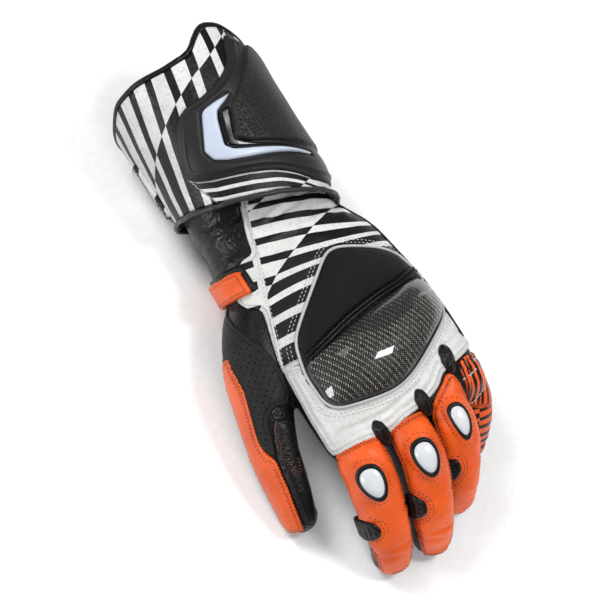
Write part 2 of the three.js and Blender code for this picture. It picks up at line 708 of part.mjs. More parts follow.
const pipingLine = steps(10, ...SIDE_PIPING.y).map((y) => handPoint(
  SIDE_PIPING.angle,
  placeOfY(HAND, y),
  ON_PANEL + PIPING_RADIUS,
));
add('side_piping', cord(pipingLine, PIPING_RADIUS, UP, false), 'black');
GUSSETS.forEach((place, i) => add(`knuckle_gusset_${i + 1}`, gusset(place), 'black'));

// Sliders and vents on the fingers
for (const name of Object.keys(SLIDERS)) {
  add(`${name}_slider_rim`, teardrop(name, 0.7, 1, RIM_RAISE), 'black');
  add(`${name}_slider`, teardrop(name, 0, 0.64, SLIDER_RAISE), 'white');
}
for (const [name, rows] of Object.entries(VENTS)) {
  add(`${name}_vent`, fingerBand(FINGERS[name], rows, 3, ON_BACK, VENT), 'black');
}

// The wrist strap and its keeper
add('wrist_strap', wristBand(WRIST_STRAP, STRAP), 'black');
add('strap_keeper', wristBand(STRAP_KEEPER, KEEPER), 'orange');

// The cuff
add('cuff_shell', cuffShell(), 'white');
add('cuff_binding', cuffEdge(1, BINDING_RADIUS, -WALL / 2), 'black');
add('cuff_hem', cuffEdge(0, HEM_RADIUS, HEM_RAISE), 'piping');
add('cuff_flap', cuffBand(smoothRows(CUFF_FLAP, 5), 3, BENT_GAP, PANEL), 'black');
add('cuff_plate', cuffBand(smoothRows(CUFF_PLATE, 14), 4, BENT_GAP, PLATE), 'plate');
add('plate_pad', cuffBand(smoothRows(PLATE_PAD, 9), 3, PLATE_TOP, INLAY), 'plate');
add('plate_inset', cuffBand(GLOSS_INSET, 2, PLATE_TOP, INLAY), 'black');
add('plate_chevron', chevron(), 'inlay');

const box = new THREE.Box3().setFromObject(glove);
const middle = box.getCenter(new THREE.Vector3());
glove.position.set(-middle.x, -middle.y, -box.min.z);

export default glove;
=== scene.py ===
"""A left-hand motorcycle racing glove: its looks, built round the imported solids.

Shapes are worked out in millimetres in the glove's own frame: x runs to the little finger, y from the
fingertips to the cuff, z up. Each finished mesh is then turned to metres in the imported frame.
"""

import logging
import math
from dataclasses import dataclass, field
from enum import Enum
from functools import cache
from itertools import product
from typing import Callable, Iterable, Optional, Sequence

import bmesh
import bpy
import numpy as np
from mathutils import Matrix, Vector, geometry, noise
from mathutils.bvhtree import BVHTree


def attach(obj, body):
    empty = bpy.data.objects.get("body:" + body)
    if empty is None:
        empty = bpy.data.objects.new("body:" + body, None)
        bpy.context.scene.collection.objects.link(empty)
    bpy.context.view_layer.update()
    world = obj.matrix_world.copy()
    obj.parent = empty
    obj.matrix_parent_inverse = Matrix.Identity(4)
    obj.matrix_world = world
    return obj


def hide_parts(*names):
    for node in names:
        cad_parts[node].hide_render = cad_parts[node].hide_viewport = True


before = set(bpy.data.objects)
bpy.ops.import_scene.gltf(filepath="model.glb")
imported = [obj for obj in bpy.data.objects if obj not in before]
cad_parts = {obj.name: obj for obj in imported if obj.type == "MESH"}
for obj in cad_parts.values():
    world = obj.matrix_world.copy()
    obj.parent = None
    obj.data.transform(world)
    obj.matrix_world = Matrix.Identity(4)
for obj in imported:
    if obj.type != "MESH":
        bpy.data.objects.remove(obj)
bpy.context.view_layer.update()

LOG = logging.getLogger("glove")

Array = np.ndarray
Source = bpy.types.Node | bpy.types.NodeSocket
Points = tuple[tuple[float, ...], ...]
Surface = Callable[[Array], Array]          # flat pattern places to points of the glove
Relief = Callable[[Array, Array], Array]    # pattern places and edge distances to heights

# The frame's origin stands under the middle of the glove; the tables below are measured from the hand
MM = 0.001
WAVE_SCALE = 2 * math.pi / 20      # the wave texture's scale for waves of length 1
ORIGIN = np.array([7.317, -0.229, 0.0])
ROOT = "root"

# The leather, in millimetres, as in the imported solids
WALL = 1.8
ON_PANEL = 2.2
ON_BACK = 2.6
STITCH_LIFT = 0.04                 # a stitch's middle lies this much over the hide
OVERHEAD = 140.0                   # higher than anything on the glove


def curve_through(rows: Array, place: Array) -> Array:
    """Reads a table of sections between its rows, on a curve through them.

    Args:
        rows: One row of numbers for each section.
        place: Places in the table, where 0 is the first row and 1 the second.

    Returns:
        One row of numbers for each place.
    """
    last = len(rows) - 1
    place = np.clip(np.asarray(place, float), 0, last)
    i = np.minimum(np.floor(place).astype(int), last - 1)
    f = (place - i)[..., None]
    b, c = rows[i], rows[i + 1]
    a = np.where((i > 0)[..., None], rows[np.maximum(i - 1, 0)], 2 * b - c)
    d = np.where((i < last - 1)[..., None], rows[np.minimum(i + 2, last)], 2 * c - b)
    bend = (3 * b - a - 3 * c + d) * f**3 + (2 * a - 5 * b + 4 * c - d) * f**2
    return 0.5 * (bend + (c - a) * f + 2 * b)


def curve(rows: Sequence[Sequence[float]], count: int) -> Array:
    """Returns a number of even steps along a curve through the rows of a table."""
    rows = np.array(rows, float)
    return curve_through(rows, np.linspace(0, len(rows) - 1, count))


def superellipse(degrees: Array, half: Array, up: Array, down: Array, power: Array) -> tuple[Array, Array]:
    """Gives the sideways and upward reach of a rounded square section.

    Args:
        degrees: Angles round the section, from the little-finger side over the top.
        half: Half widths.
        up: Heights of the upper half.
        down: Heights of the lower half.
        power: Squareness, 2 for an ellipse.

    Returns:
        The sideways and the upward distances from the centre.
    """
    angle = np.radians(degrees)
    c, s = np.cos(angle), np.sin(angle)
    side = half * np.sign(c) * np.abs(c) ** (2 / power)
    lift = np.where(s > 0, up, down) * np.sign(s) * np.abs(s) ** (2 / power)
    return side, lift


def between(t: Array, low: float, high: float, one: Array, other: Array) -> Array:
    """Goes from one to the other while t goes from low to high."""
    return one + (other - one) * (t - low) / (high - low)


def smooth_step(value: Array, low: float, high: float) -> Array:
    """Gives 0 below low, 1 above high and an even slope between them."""
    share = np.clip((value - low) / (high - low), 0, 1)
    return share * share * (3 - 2 * share)


def rounded_rise(edge: Array, width: float, foot: float, crest: Array) -> Array:
    """Gives heights that start at the foot on the edge, and round off to the crest over a width."""
    return foot + (crest - foot) * np.sqrt(np.clip(1 - (1 - np.clip(edge / width, 0, 1)) ** 2, 0, 1))


def upright(places: Array) -> Array:
    """Gives flat places a third number, 0."""
    return np.column_stack([places, np.zeros(len(places))])


def smoothed(line: Array, rounds: int) -> Array:
    """Returns a closed line with its unevenness averaged out.

    Args:
        line: The line's points, in order.
        rounds: How many times it is averaged.

    Returns:
        The smoother line.
    """
    for _ in range(rounds):
        line = (np.roll(line, 1, 0) + 2 * line + np.roll(line, -1, 0)) / 4
    return line


def dip(value: Array, centre: float, width: float) -> Array:
    """Gives a round bump of height 1 at a centre."""
    return np.exp(-(((value - centre) / width) ** 2))


def rumple(points: Array, spacing: Sequence[float], seed: float) -> Array:
    """Gives smooth seeded unevenness.

    Args:
        points: Places in millimetres.
        spacing: Size of the unevenness along x, y and z, in millimetres.
        seed: Shifts the pattern.

    Returns:
        A value from about -1 to 1 for each point.
    """
    scaled = points / np.asarray(spacing, float) + seed
    return np.array([noise.noise(Vector(place)) for place in scaled])


def linear(code: str, alpha: float = 1.0) -> tuple[float, float, float, float]:
    """Turns an sRGB hex colour to linear light.

    Args:
        code: The colour as #RRGGBB.
        alpha: Its opacity.

    Returns:
        Red, green, blue and alpha.
    """
    parts = [int(code[i : i + 2], 16) / 255 for i in (1, 3, 5)]
    red, green, blue = (p / 12.92 if p <= 0.04045 else ((p + 0.055) / 1.055) ** 2.4 for p in parts)
    return red, green, blue, alpha


def lit(code: str, share: float) -> tuple[float, float, float, float]:
    """Returns an sRGB hex colour in linear light, made lighter or darker by a share."""
    red, green, blue = (min(part * share, 1) for part in linear(code)[:3])
    return red, green, blue, 1.0


class Graph:
    """The nodes of one material, in millimetres of the glove."""

    def __init__(self, name: str) -> None:
        """Starts an empty material.

        Args:
            name: The material's name.
        """
        self.material = bpy.data.materials.new(name)
        self.material.use_nodes = True
        self.tree = self.material.node_tree
        self.tree.nodes.clear()

    def add(self, kind: str, settings: Optional[dict] = None, links: Optional[dict] = None) -> bpy.types.Node:
        """Adds a node.

        Args:
            kind: The node's type without its prefix.
            settings: Its properties, and the values of its inputs by name or number.
            links: What its inputs take, as a node's first output or a socket.

        Returns:
            The node.
        """
        node = self.tree.nodes.new("ShaderNode" + kind)
        for key, value in (settings or {}).items():
            if isinstance(key, str) and hasattr(node, key):
                setattr(node, key, value)
            else:
                node.inputs[key].default_value = value
        for key, source in (links or {}).items():
            socket = source.outputs[0] if isinstance(source, bpy.types.Node) else source
            self.tree.links.new(socket, node.inputs[key])
        return node

    def millimetres(self) -> bpy.types.Node:
        """Returns the place on the glove in millimetres."""
        place = self.add("TexCoord")
        return self.add("Mapping", {"Scale": (1 / MM,) * 3}, {"Vector": place.outputs["Object"]})

    def pattern(self) -> bpy.types.Node:
        """Returns the place in the piece's flat pattern, in millimetres."""
        return self.add("UVMap")

    def field(self, name: str) -> bpy.types.NodeSocket:
        """Returns a number that the piece carries at each point."""
        return self.add("Attribute", {"attribute_name": name}).outputs["Fac"]

    def math(self, operation: str, *terms: float | Source, clamp: bool = False) -> bpy.types.Node:
        """Adds a calculation with numbers and sockets, which may be held between 0 and 1.

        Args:
            operation: The name of the calculation.
            terms: Its numbers and sockets, in order.
            clamp: Whether the result is held between 0 and 1.

        Returns:
            The node.
        """
        numbers = {i: term for i, term in enumerate(terms) if isinstance(term, (int, float))}
        links = {i: term for i, term in enumerate(terms) if i not in numbers}
        return self.add("Math", {"operation": operation, "use_clamp": clamp, **numbers}, links)

    def slope(self, value: Source, low: float, high: float, start: float = 0.0, end: float = 1.0,
              curve: str = "LINEAR") -> bpy.types.Node:
        """Adds a slope from start to end, where the value goes from low to high."""
        span = {"From Min": low, "From Max": high, "To Min": start, "To Max": end}
        return self.add("MapRange", {"interpolation_type": curve, **span}, {"Value": value})

    def soft_slope(self, value: Source, low: float, high: float, start: float = 0.0,
                   end: float = 1.0) -> bpy.types.Node:
        """Adds a slope with rounded ends."""
        return self.slope(value, low, high, start, end, "SMOOTHSTEP")

    def noise(self, place: Source, size_mm: float, detail: float, **settings: float | str) -> bpy.types.Node:
        """Adds soft unevenness of a size."""
        return self.add("TexNoise", {"Scale": 1 / size_mm, "Detail": detail, **settings}, {"Vector": place})

    def mix(self, share: Source, *colours: str | tuple | Source) -> bpy.types.NodeSocket:
        """Blends from one colour to another, each a hex code, a linear colour or a socket.

        Args:
            share: How much of the second colour there is.
            colours: The first and the second colour.

        Returns:
            The blend's socket.
        """
        settings, links = {"data_type": "RGBA"}, {0: share}
        for i, colour in enumerate(colours, 6):
            if isinstance(colour, (str, tuple)):
                settings[i] = linear(colour) if isinstance(colour, str) else colour
            else:
                links[i] = colour
        return self.add("Mix", settings, links).outputs[2]

    def bump(self, height: Source, strength: float, distance_mm: float = 1.0) -> bpy.types.Node:
        """Adds a relief that only shows in the light."""
        return self.add("Bump", {"Strength": strength, "Distance": distance_mm * MM}, {"Height": height})

    def finish(self, settings: dict, links: dict) -> bpy.types.Material:
        """Ends the material with its shader."""
        self.add("OutputMaterial", links={"Surface": self.add("BsdfPrincipled", settings, links)})
        return self.material


class Finish:
    """What a surface is made of."""

    def material(self) -> bpy.types.Material:
        """Returns the finish's material, made once."""
        return made_once(self)

    def make(self) -> bpy.types.Material:
        """Makes the material."""
        raise NotImplementedError


@cache
def made_once(finish: Finish) -> bpy.types.Material:
    """Makes a finish's material the first time that it is asked for."""
    return finish.make()


class Print(Enum):
    """What is printed on a leather."""

    PLAIN = "plain"
    STRIPES = "stripes"


@dataclass(frozen=True)
class Leather(Finish):
    """Drum-dyed cowhide with a finished face.

    The eye gets a fine pebble grain, random mottling, shallow creases that catch the light and a soft low
    gloss.
    The deep colour is laid into the creases and into the groove where a seam pulls the leather down: painted
    shade on the lighter hides, a lighter grey on the black ones.
    """

    name: str
    colour: str
    # blended in by the random mottling, and in the creases and the seam groove: painted shade where it is
    # darker than the face, as on the orange, white and grey hides
    deep: str
    grain_mm: float = 1.7          # real grain is about 0.6 mm, drawn coarser so that it shows
    grain_depth: float = 0.16
    crease_mm: float = 6.5
    crease_depth: float = 0.26
    pucker_mm: float = 2.6
    fleck: float = 0.5
    roughness: float = 0.46
    specular: float = 0.5
    gloss: float = 0.12
    seam_mm: float = 2.3
    printed: Print = Print.PLAIN
    second: str = "#0D0D0D"
    # the dark print's colour in the same blend: a lighter grey
    second_worn: str = "#1F1F1F"
    band: float = 0.36             # share of the stripe's width that is dark

    def make(self) -> bpy.types.Material:
        """Makes the leather.

        Returns:
            The material.
        """
        g = Graph(self.name)
        place = g.millimetres()
        mottle = g.noise(place, 17, 3.0)
        folds = g.noise(place, self.crease_mm, 4.0, noise_type="RIDGED_MULTIFRACTAL", Roughness=0.55,
                        Distortion=0.3)
        crease = g.soft_slope(folds, 0.9, 2.2)
        off_seam = g.math("ABSOLUTE", g.math("SUBTRACT", g.field("edge_mm"), self.seam_mm))
        groove = g.soft_slope(off_seam, 0.15, 0.75, 1.0, 0.0)
        fleck = g.slope(g.noise(place, self.grain_mm, 3.0, Roughness=0.65), 0.5, 0.75)
        # Painted shade: the seam groove and the creases take the deep colour, over the random mottling and
        # flecks
        shade = g.math("MULTIPLY_ADD", groove, 0.45, g.slope(mottle, 0.35, 0.75, 0.0, 0.35))
        shade = g.math("MULTIPLY_ADD", crease, 0.08, shade, clamp=True)
        shade = g.math("MULTIPLY_ADD", fleck, self.fleck, shade, clamp=True)
        face, tone_and_shade_colour = self.colour, self.deep
        if self.printed is Print.STRIPES:
            dark = self.dark_stripes(g)
            face, tone_and_shade_colour = g.mix(dark, face, self.second), g.mix(dark, tone_and_shade_colour, self.second_worn)
        pucker = g.math("MULTIPLY", g.noise(place, self.pucker_mm, 2.0),
                        g.soft_slope(off_seam, 0.4, 4.5, 1.0, 0.0))
        cells = g.add("TexVoronoi", {"feature": "SMOOTH_F1", "Scale": 1 / self.grain_mm, "Smoothness": 0.6},
                      {"Vector": place})
        height = g.math("MULTIPLY", cells, -self.grain_depth)
        for part, amount in ((crease, -self.crease_depth), (groove, -0.35), (pucker, 0.9)):
            height = g.math("MULTIPLY_ADD", part, amount, height)
        rough = g.slope(mottle, 0.3, 0.7, self.roughness - 0.06, self.roughness + 0.08)
        return g.finish({"IOR": 1.5, "Specular IOR Level": self.specular, "Coat Weight": self.gloss,
                         "Coat Roughness": 0.35},
                        {"Base Color": g.mix(shade, face, tone_and_shade_colour), "Normal": g.bump(height, 0.8),
                         "Roughness": rough})

    def dark_stripes(self, g: Graph) -> bpy.types.Node:
        """Returns where the print is dark, from the stripes' count, which swaps across a line.

        Args:
            g: The material's graph.

        Returns:
            A node that gives 1 where the print is dark, else 0.
        """
        wave = g.math("COSINE", g.math("MULTIPLY", g.field("stripe"), 2 * math.pi))
        wave = g.math("SUBTRACT", wave, math.cos(math.pi * self.band))
        wave = g.math("MULTIPLY", wave, g.math("SIGN", g.field("counter")))
        inside = g.math("GREATER_THAN", g.field("printed_mm"), 0.0)
        return g.math("MULTIPLY", g.math("GREATER_THAN", wave, 0.0), inside)


@dataclass(frozen=True)
class CarbonFibre(Finish):
    """Carbon twill under a moulded clear coat.

    The eye gets grey floats that step diagonally over black tows, and sharp reflections on top. The floats'
    grey is painted sheen of the fibres: lighter at each float's crown, and lighter on the warp than on the
    weft.
    """

    name: str = "carbon_twill_clearcoat"
    tow_mm: float = 1.0            # half of a 2 mm tow
    turn: float = 17.0
    dark: str = "#070707"
    # painted sheen: the floats' grey, lighter on the warp than on the weft
    warp: str = "#A8A8A0"
    weft: str = "#5A5A56"
    # painted reflection: flat grey that dims the twill above the crease, standing for a broad soft
    # reflection; also along the rim
    smoke: str = "#1D1D1D"

    def make(self) -> bpy.types.Material:
        """Makes the twill.

        Returns:
            The material.
        """
        g = Graph(self.name)
        turned = {"Rotation": (0, 0, math.radians(self.turn)), "Scale": (1 / self.tow_mm,) * 3}
        place = g.add("Mapping", turned, {"Vector": g.pattern()})
        axes = g.add("SeparateXYZ", links={0: place}).outputs
        # The twill gives way to the flat painted reflection grey above the crease and along the rim
        clear = g.field("clear")
        colour = g.mix(clear, self.smoke, self.dark)
        shown = g.math("MULTIPLY", g.slope(g.noise(place, 2.0, 2.0), 0.3, 0.6, 0.12), clear)
        height = None
        for one, other, phase, tint in ((0, 1, 0.0, self.warp), (1, 0, 2.0, self.weft)):
            run = g.math("ADD", g.math("ADD", axes[other], g.math("FLOOR", axes[one])), phase)
            run = g.math("FLOORED_MODULO", run, 4.0)
            ends = g.soft_slope(g.math("PINGPONG", run, 1.0), 0.08, 0.5)
            sides = g.soft_slope(g.math("PINGPONG", axes[one], 0.5), 0.15, 0.42)
            crown = g.math("MULTIPLY", g.math("MULTIPLY", ends, sides), g.math("LESS_THAN", run, 2.0))
            # Painted sheen: each float's grey rises towards its crown, the warp's lighter than the weft's
            colour = g.mix(g.math("MULTIPLY", crown, shown), colour, tint)
            height = g.math("ADD", crown, height) if height else crown
        return g.finish({"IOR": 1.5, "Roughness": 0.45, "Specular IOR Level": 0.3, "Coat Weight": 1.0,
                         "Coat Roughness": 0.03},
                        {"Base Color": colour, "Normal": g.bump(height, 0.4, 0.12)})


@dataclass(frozen=True)
class MouldedRubber(Finish):
    """Thermoplastic rubber from a fine-spark mould.

    The eye gets an even dark grey, a dull sheen on the ridges, and a stipple where the mould has one, its
    pits painted darker as shade.
    """

    name: str
    colour: str
    stipple: bool = False
    dot_mm: float = 2.1
    pit_depth: float = 0.55
    # painted shade in the stipple's pits
    pit_colour: str = "#151516"
    roughness: float = 0.5

    def make(self) -> bpy.types.Material:
        """Makes the rubber.

        Returns:
            The material.
        """
        g = Graph(self.name)
        place = g.millimetres()
        cloud = g.noise(place, 22, 2.0)
        colour = g.mix(cloud, self.colour, lit(self.colour, 1.35))
        height = g.math("MULTIPLY", g.noise(place, 0.7, 2.0), 0.035)
        if self.stipple:
            scatter = {"voronoi_dimensions": "2D", "Scale": 1 / self.dot_mm, "Randomness": 0.5}
            dots = g.add("TexVoronoi", scatter, {"Vector": g.pattern()})
            pit = g.math("MULTIPLY", g.soft_slope(dots, 0.12, 0.42, 1.0, 0.0), g.field("stipple"))
            height = g.math("MULTIPLY_ADD", pit, -self.pit_depth, height)
            colour = g.mix(g.math("MULTIPLY", pit, 0.6), colour, self.pit_colour)
        rough = g.slope(cloud, 0.0, 1.0, self.roughness - 0.05, self.roughness + 0.07)
        return g.finish({"Specular IOR Level": 0.4},
                        {"Base Color": colour, "Normal": g.bump(height, 0.8), "Roughness": rough})


@dataclass(frozen=True)
class RibbedFabric(Finish):
    """Woven stretch fabric with a fine rib, laminated over foam.

    The eye gets close parallel lines, their crests painted lighter as a little sheen.
    """

    name: str = "ribbed_stretch_fabric"
    colour: str = "#0C0C0D"
    # painted sheen along the rib crests
    crest: str = "#1D1D1E"
    rib_mm: float = 1.2            # real ribs are about 0.8 mm, drawn coarser so that they show

    def make(self) -> bpy.types.Material:
        """Makes the fabric.

        Returns:
            The material.
        """
        g = Graph(self.name)
        waves = {"bands_direction": "Y", "Scale": WAVE_SCALE / self.rib_mm, "Distortion": 0.15, "Detail": 1.0}
        ribs = g.add("TexWave", waves, {"Vector": g.pattern()}).outputs["Fac"]
        colour = g.mix(ribs, self.colour, self.crest)
        return g.finish({"Roughness": 0.6, "Specular IOR Level": 0.25},
                        {"Base Color": colour, "Normal": g.bump(ribs, 0.7, 0.35)})


@dataclass(frozen=True)
class Smooth(Finish):
    """A moulded or coated surface without a grain that shows, such as polished plastic.

    The eye gets a clean colour with faint unevenness in its gloss.
    """

    name: str
    colour: str
    roughness: float
    coat: float = 0.0

    def make(self) -> bpy.types.Material:
        """Makes the surface.

        Returns:
            The material.
        """
        g = Graph(self.name)
        cloud = g.noise(g.millimetres(), 4, 3.0)
        rough = g.slope(cloud, 0.0, 1.0, self.roughness * 0.8, self.roughness * 1.25)
        return g.finish({"IOR": 1.48, "Coat Weight": self.coat, "Coat Roughness": 0.05},
                        {"Base Color": g.mix(cloud, self.colour, lit(self.colour, 0.88)), "Roughness": rough})


@dataclass(frozen=True)
class Yarn(Finish):
    """Bonded nylon sewing thread, or a knitted lining: fine twisted strands with a dull sheen."""

    name: str
    colour: str
    strand_mm: float = 0.5

    def make(self) -> bpy.types.Material:
        """Makes the yarn.

        Returns:
            The material.
        """
        g = Graph(self.name)
        strands = g.add("TexVoronoi", {"Scale": 1 / self.strand_mm}, {"Vector": g.millimetres()})
        return g.finish({"Roughness": 0.7, "Sheen Weight": 0.2},
                        {"Base Color": g.mix(strands, self.colour, lit(self.colour, 0.6)),
                         "Normal": g.bump(strands, 0.5, 0.2)})


# Full-grain cowhide dyed through: dull black, with grain that only shows in the light
BLACK_LEATHER = Leather("black_cowhide", "#0E0E0F", "#1A1A1B", roughness=0.38, gloss=0.05, specular=0.35,
                        crease_depth=0.6, grain_depth=0.3)
# The same hide with an opaque orange face, a little glossier, its creases and seams painted darker as shade
ORANGE_LEATHER = Leather("orange_cowhide", "#EC5E1E", "#96300D", roughness=0.42, gloss=0.1, specular=0.4,
                        fleck=0.16, crease_depth=0.45, pucker_mm=2.2)
# White hide, whose grain shows as faint grey, with faint grey painted shade in its creases and seams
WHITE_LEATHER = Leather("white_cowhide", "#D2D2D0", "#A6A6A4", roughness=0.46)
# White hide printed with black counter-changed stripes
STRIPED_LEATHER = Leather("striped_cowhide", "#D4D4D2", "#969694", printed=Print.STRIPES, specular=0.35,
                          gloss=0.05)
# Orange hide printed with the same stripes
STRIPED_ORANGE = Leather("striped_orange_cowhide", "#EC5E1E", "#96300D", printed=Print.STRIPES, band=0.42,
                         specular=0.4)
# Soft grey-black goat hide, buffed dull
GREY_LEATHER = Leather("grey_goatskin", "#1E1F1E", "#161716", roughness=0.6, gloss=0.0, specular=0.3,
                       crease_depth=0.1, grain_depth=0.1)
# The dark wall of a punched hole
PUNCHED = Smooth("punched_hole", "#0B0B0B", 0.8)
CARBON = CarbonFibre()
# Rubber parts of the cuff guard, plain and stippled, and of rims and trim, which are darker
PLATE = MouldedRubber("moulded_rubber", "#1F1F20", roughness=0.44)
STIPPLED = MouldedRubber("stippled_rubber", "#1E1E1F", stipple=True, roughness=0.46)
BLACK_RUBBER = MouldedRubber("black_rubber", "#0C0C0D", roughness=0.45)
RIBBED = RibbedFabric()
# Hard white sliders, the black film of the inset and the pale film of the chevron
SLIDER = Smooth("polished_acetal", "#D3D6DB", 0.24, coat=0.3)
GLOSS_BLACK = Smooth("gloss_black_film", "#0A0A0A", 0.22, coat=0.25)
REFLECTIVE = Smooth("reflective_film", "#BCC6D6", 0.34)
# Rolled hide round the hem, and the light cord round pad and shell
PIPING = Leather("grey_piping_hide", "#2C2D2E", "#19191A", roughness=0.42, crease_mm=4.0, crease_depth=0.4)
RIM_PIPING = Smooth("light_grey_piping", "#B4B5B7", 0.45)
LINING = Yarn("knitted_lining", "#1B1B1C", 1.2)
# Bonded threads, each a little off the colour of the hide that it sews
THREAD_WHITE = Yarn("light_grey_thread", "#C6C6C4")
THREAD_BLACK = Yarn("black_thread", "#0C0C0C")
THREAD_RUST = Yarn("rust_thread", "#571A08")
THREAD_COPPER = Yarn("copper_thread", "#94481A")


class Outline:
    """A closed line in a flat pattern, in millimetres."""

    def __init__(self, corners: Sequence[Sequence[float]], spacing: float = 1.0, smooth: bool = True) -> None:
        """Draws the line.

        Args:
            corners: The points that the line goes through.
            spacing: Distance between the points of the line.
            smooth: Whether the line bends through the corners or runs straight between them.
        """
        self.corners = np.asarray(corners, float)
        line = self._bent() if smooth else self.corners
        self.points = even_line(line, spacing, closed=True)
        after = np.roll(self.points, -1, 0)
        area = np.sum(self.points[:, 0] * after[:, 1] - after[:, 0] * self.points[:, 1])
        if area < 0:
            self.points = self.points[::-1]

    def rounded(self, rounds: int) -> "Outline":
        """Returns the line with its corners rounded off a little more with each round."""
        return Outline(smoothed(self.points, rounds), smooth=False)

    def _bent(self) -> Array:
        """Returns points on a centripetal curve through the corners.

        Returns:
            The points, twelve to each corner.
        """
        found = []
        for i in range(len(self.corners)):
            a, b, c, d = np.roll(self.corners, 1 - i, 0)[:4]
            steps = [np.linalg.norm(step) ** 0.5 for step in (b - a, c - b, d - c)]
            t0, t1, t2, t3 = np.cumsum([0.0, *steps])
            t = np.linspace(t1, t2, 12, endpoint=False)[:, None]
            first, middle, last = between(t, t0, t1, a, b), between(t, t1, t2, b, c), between(t, t2, t3, c, d)
            first, last = between(t, t0, t2, first, middle), between(t, t1, t3, middle, last)
            found.append(between(t, t1, t2, first, last))
        return np.vstack(found)

    def nearest(self, places: Array) -> tuple[Array, Array]:
        """Finds the line's nearest points.

        Args:
            places: Places in the pattern.

        Returns:
            The nearest point and its distance for each place.
        """
        start = self.points
        along = np.roll(start, -1, 0) - start
        length = np.maximum((along**2).sum(1), 1e-12)
        nearest = np.empty_like(places)
        distance = np.empty(len(places))
        for first in range(0, len(places), 2000):
            part = places[first : first + 2000]
            offset = part[:, None] - start[None]
            share = np.clip((offset * along[None]).sum(2) / length[None], 0, 1)
            spot = start[None] + share[..., None] * along[None]
            gap = np.linalg.norm(part[:, None] - spot, axis=2)
            best = gap.argmin(1)
            rows = np.arange(len(part))
            nearest[first : first + 2000] = spot[rows, best]
            distance[first : first + 2000] = gap[rows, best]
        return nearest, distance

    def distance(self, places: Array) -> Array:
        """Returns how far inside the line each place is, negative outside.

        Args:
            places: Places in the pattern.

        Returns:
            The distances in millimetres.
        """
        _, gap = self.nearest(places)
        x, y = places[:, 0], places[:, 1]
        inside = np.zeros(len(places), bool)
        for a, b in zip(self.points, np.roll(self.points, -1, 0)):
            crosses = (a[1] > y) != (b[1] > y)
            if crosses.any():
                edge = a[0] + (y - a[1]) * (b[0] - a[0]) / (b[1] - a[1] if b[1] != a[1] else 1e-12)
                inside ^= crosses & (x < edge)
        return np.where(inside, gap, -gap)

    def inset(self, depth: float, spacing: float = 1.0) -> Array:
        """Returns a closed line at a depth inside this one, or outside if it is negative.

        Args:
            depth: How far inside the line.
            spacing: Distance between the points.

        Returns:
            The new line's points.
        """
        ahead = np.roll(self.points, -1, 0) - np.roll(self.points, 1, 0)
        ahead /= np.maximum(np.linalg.norm(ahead, axis=1, keepdims=True), 1e-9)
        moved = self.points + depth * np.stack([-ahead[:, 1], ahead[:, 0]], 1)
        kept = moved[np.abs(self.distance(moved) - depth) < 0.12 + 0.03 * abs(depth)]
        return even_line(kept, spacing, closed=True)


def even_line(line: Array, spacing: float, closed: bool) -> Array:
    """Spreads points evenly along a line.

    Args:
        line: The line's points, in two or three dimensions.
        spacing: About how far apart the new points are.
        closed: Whether the line comes back to its start.

    Returns:
        The new points, without a second copy of the start if it is closed.
    """
    whole = np.vstack([line, line[:1]]) if closed else line
    steps = np.linalg.norm(np.diff(whole, axis=0), axis=1)
    length = np.concatenate([[0], np.cumsum(steps)])
    count = max(int(round(length[-1] / spacing)), 4)
    places = np.linspace(0, length[-1], count, endpoint=not closed)
    return np.stack([np.interp(places, length, whole[:, k]) for k in range(whole.shape[1])], 1)


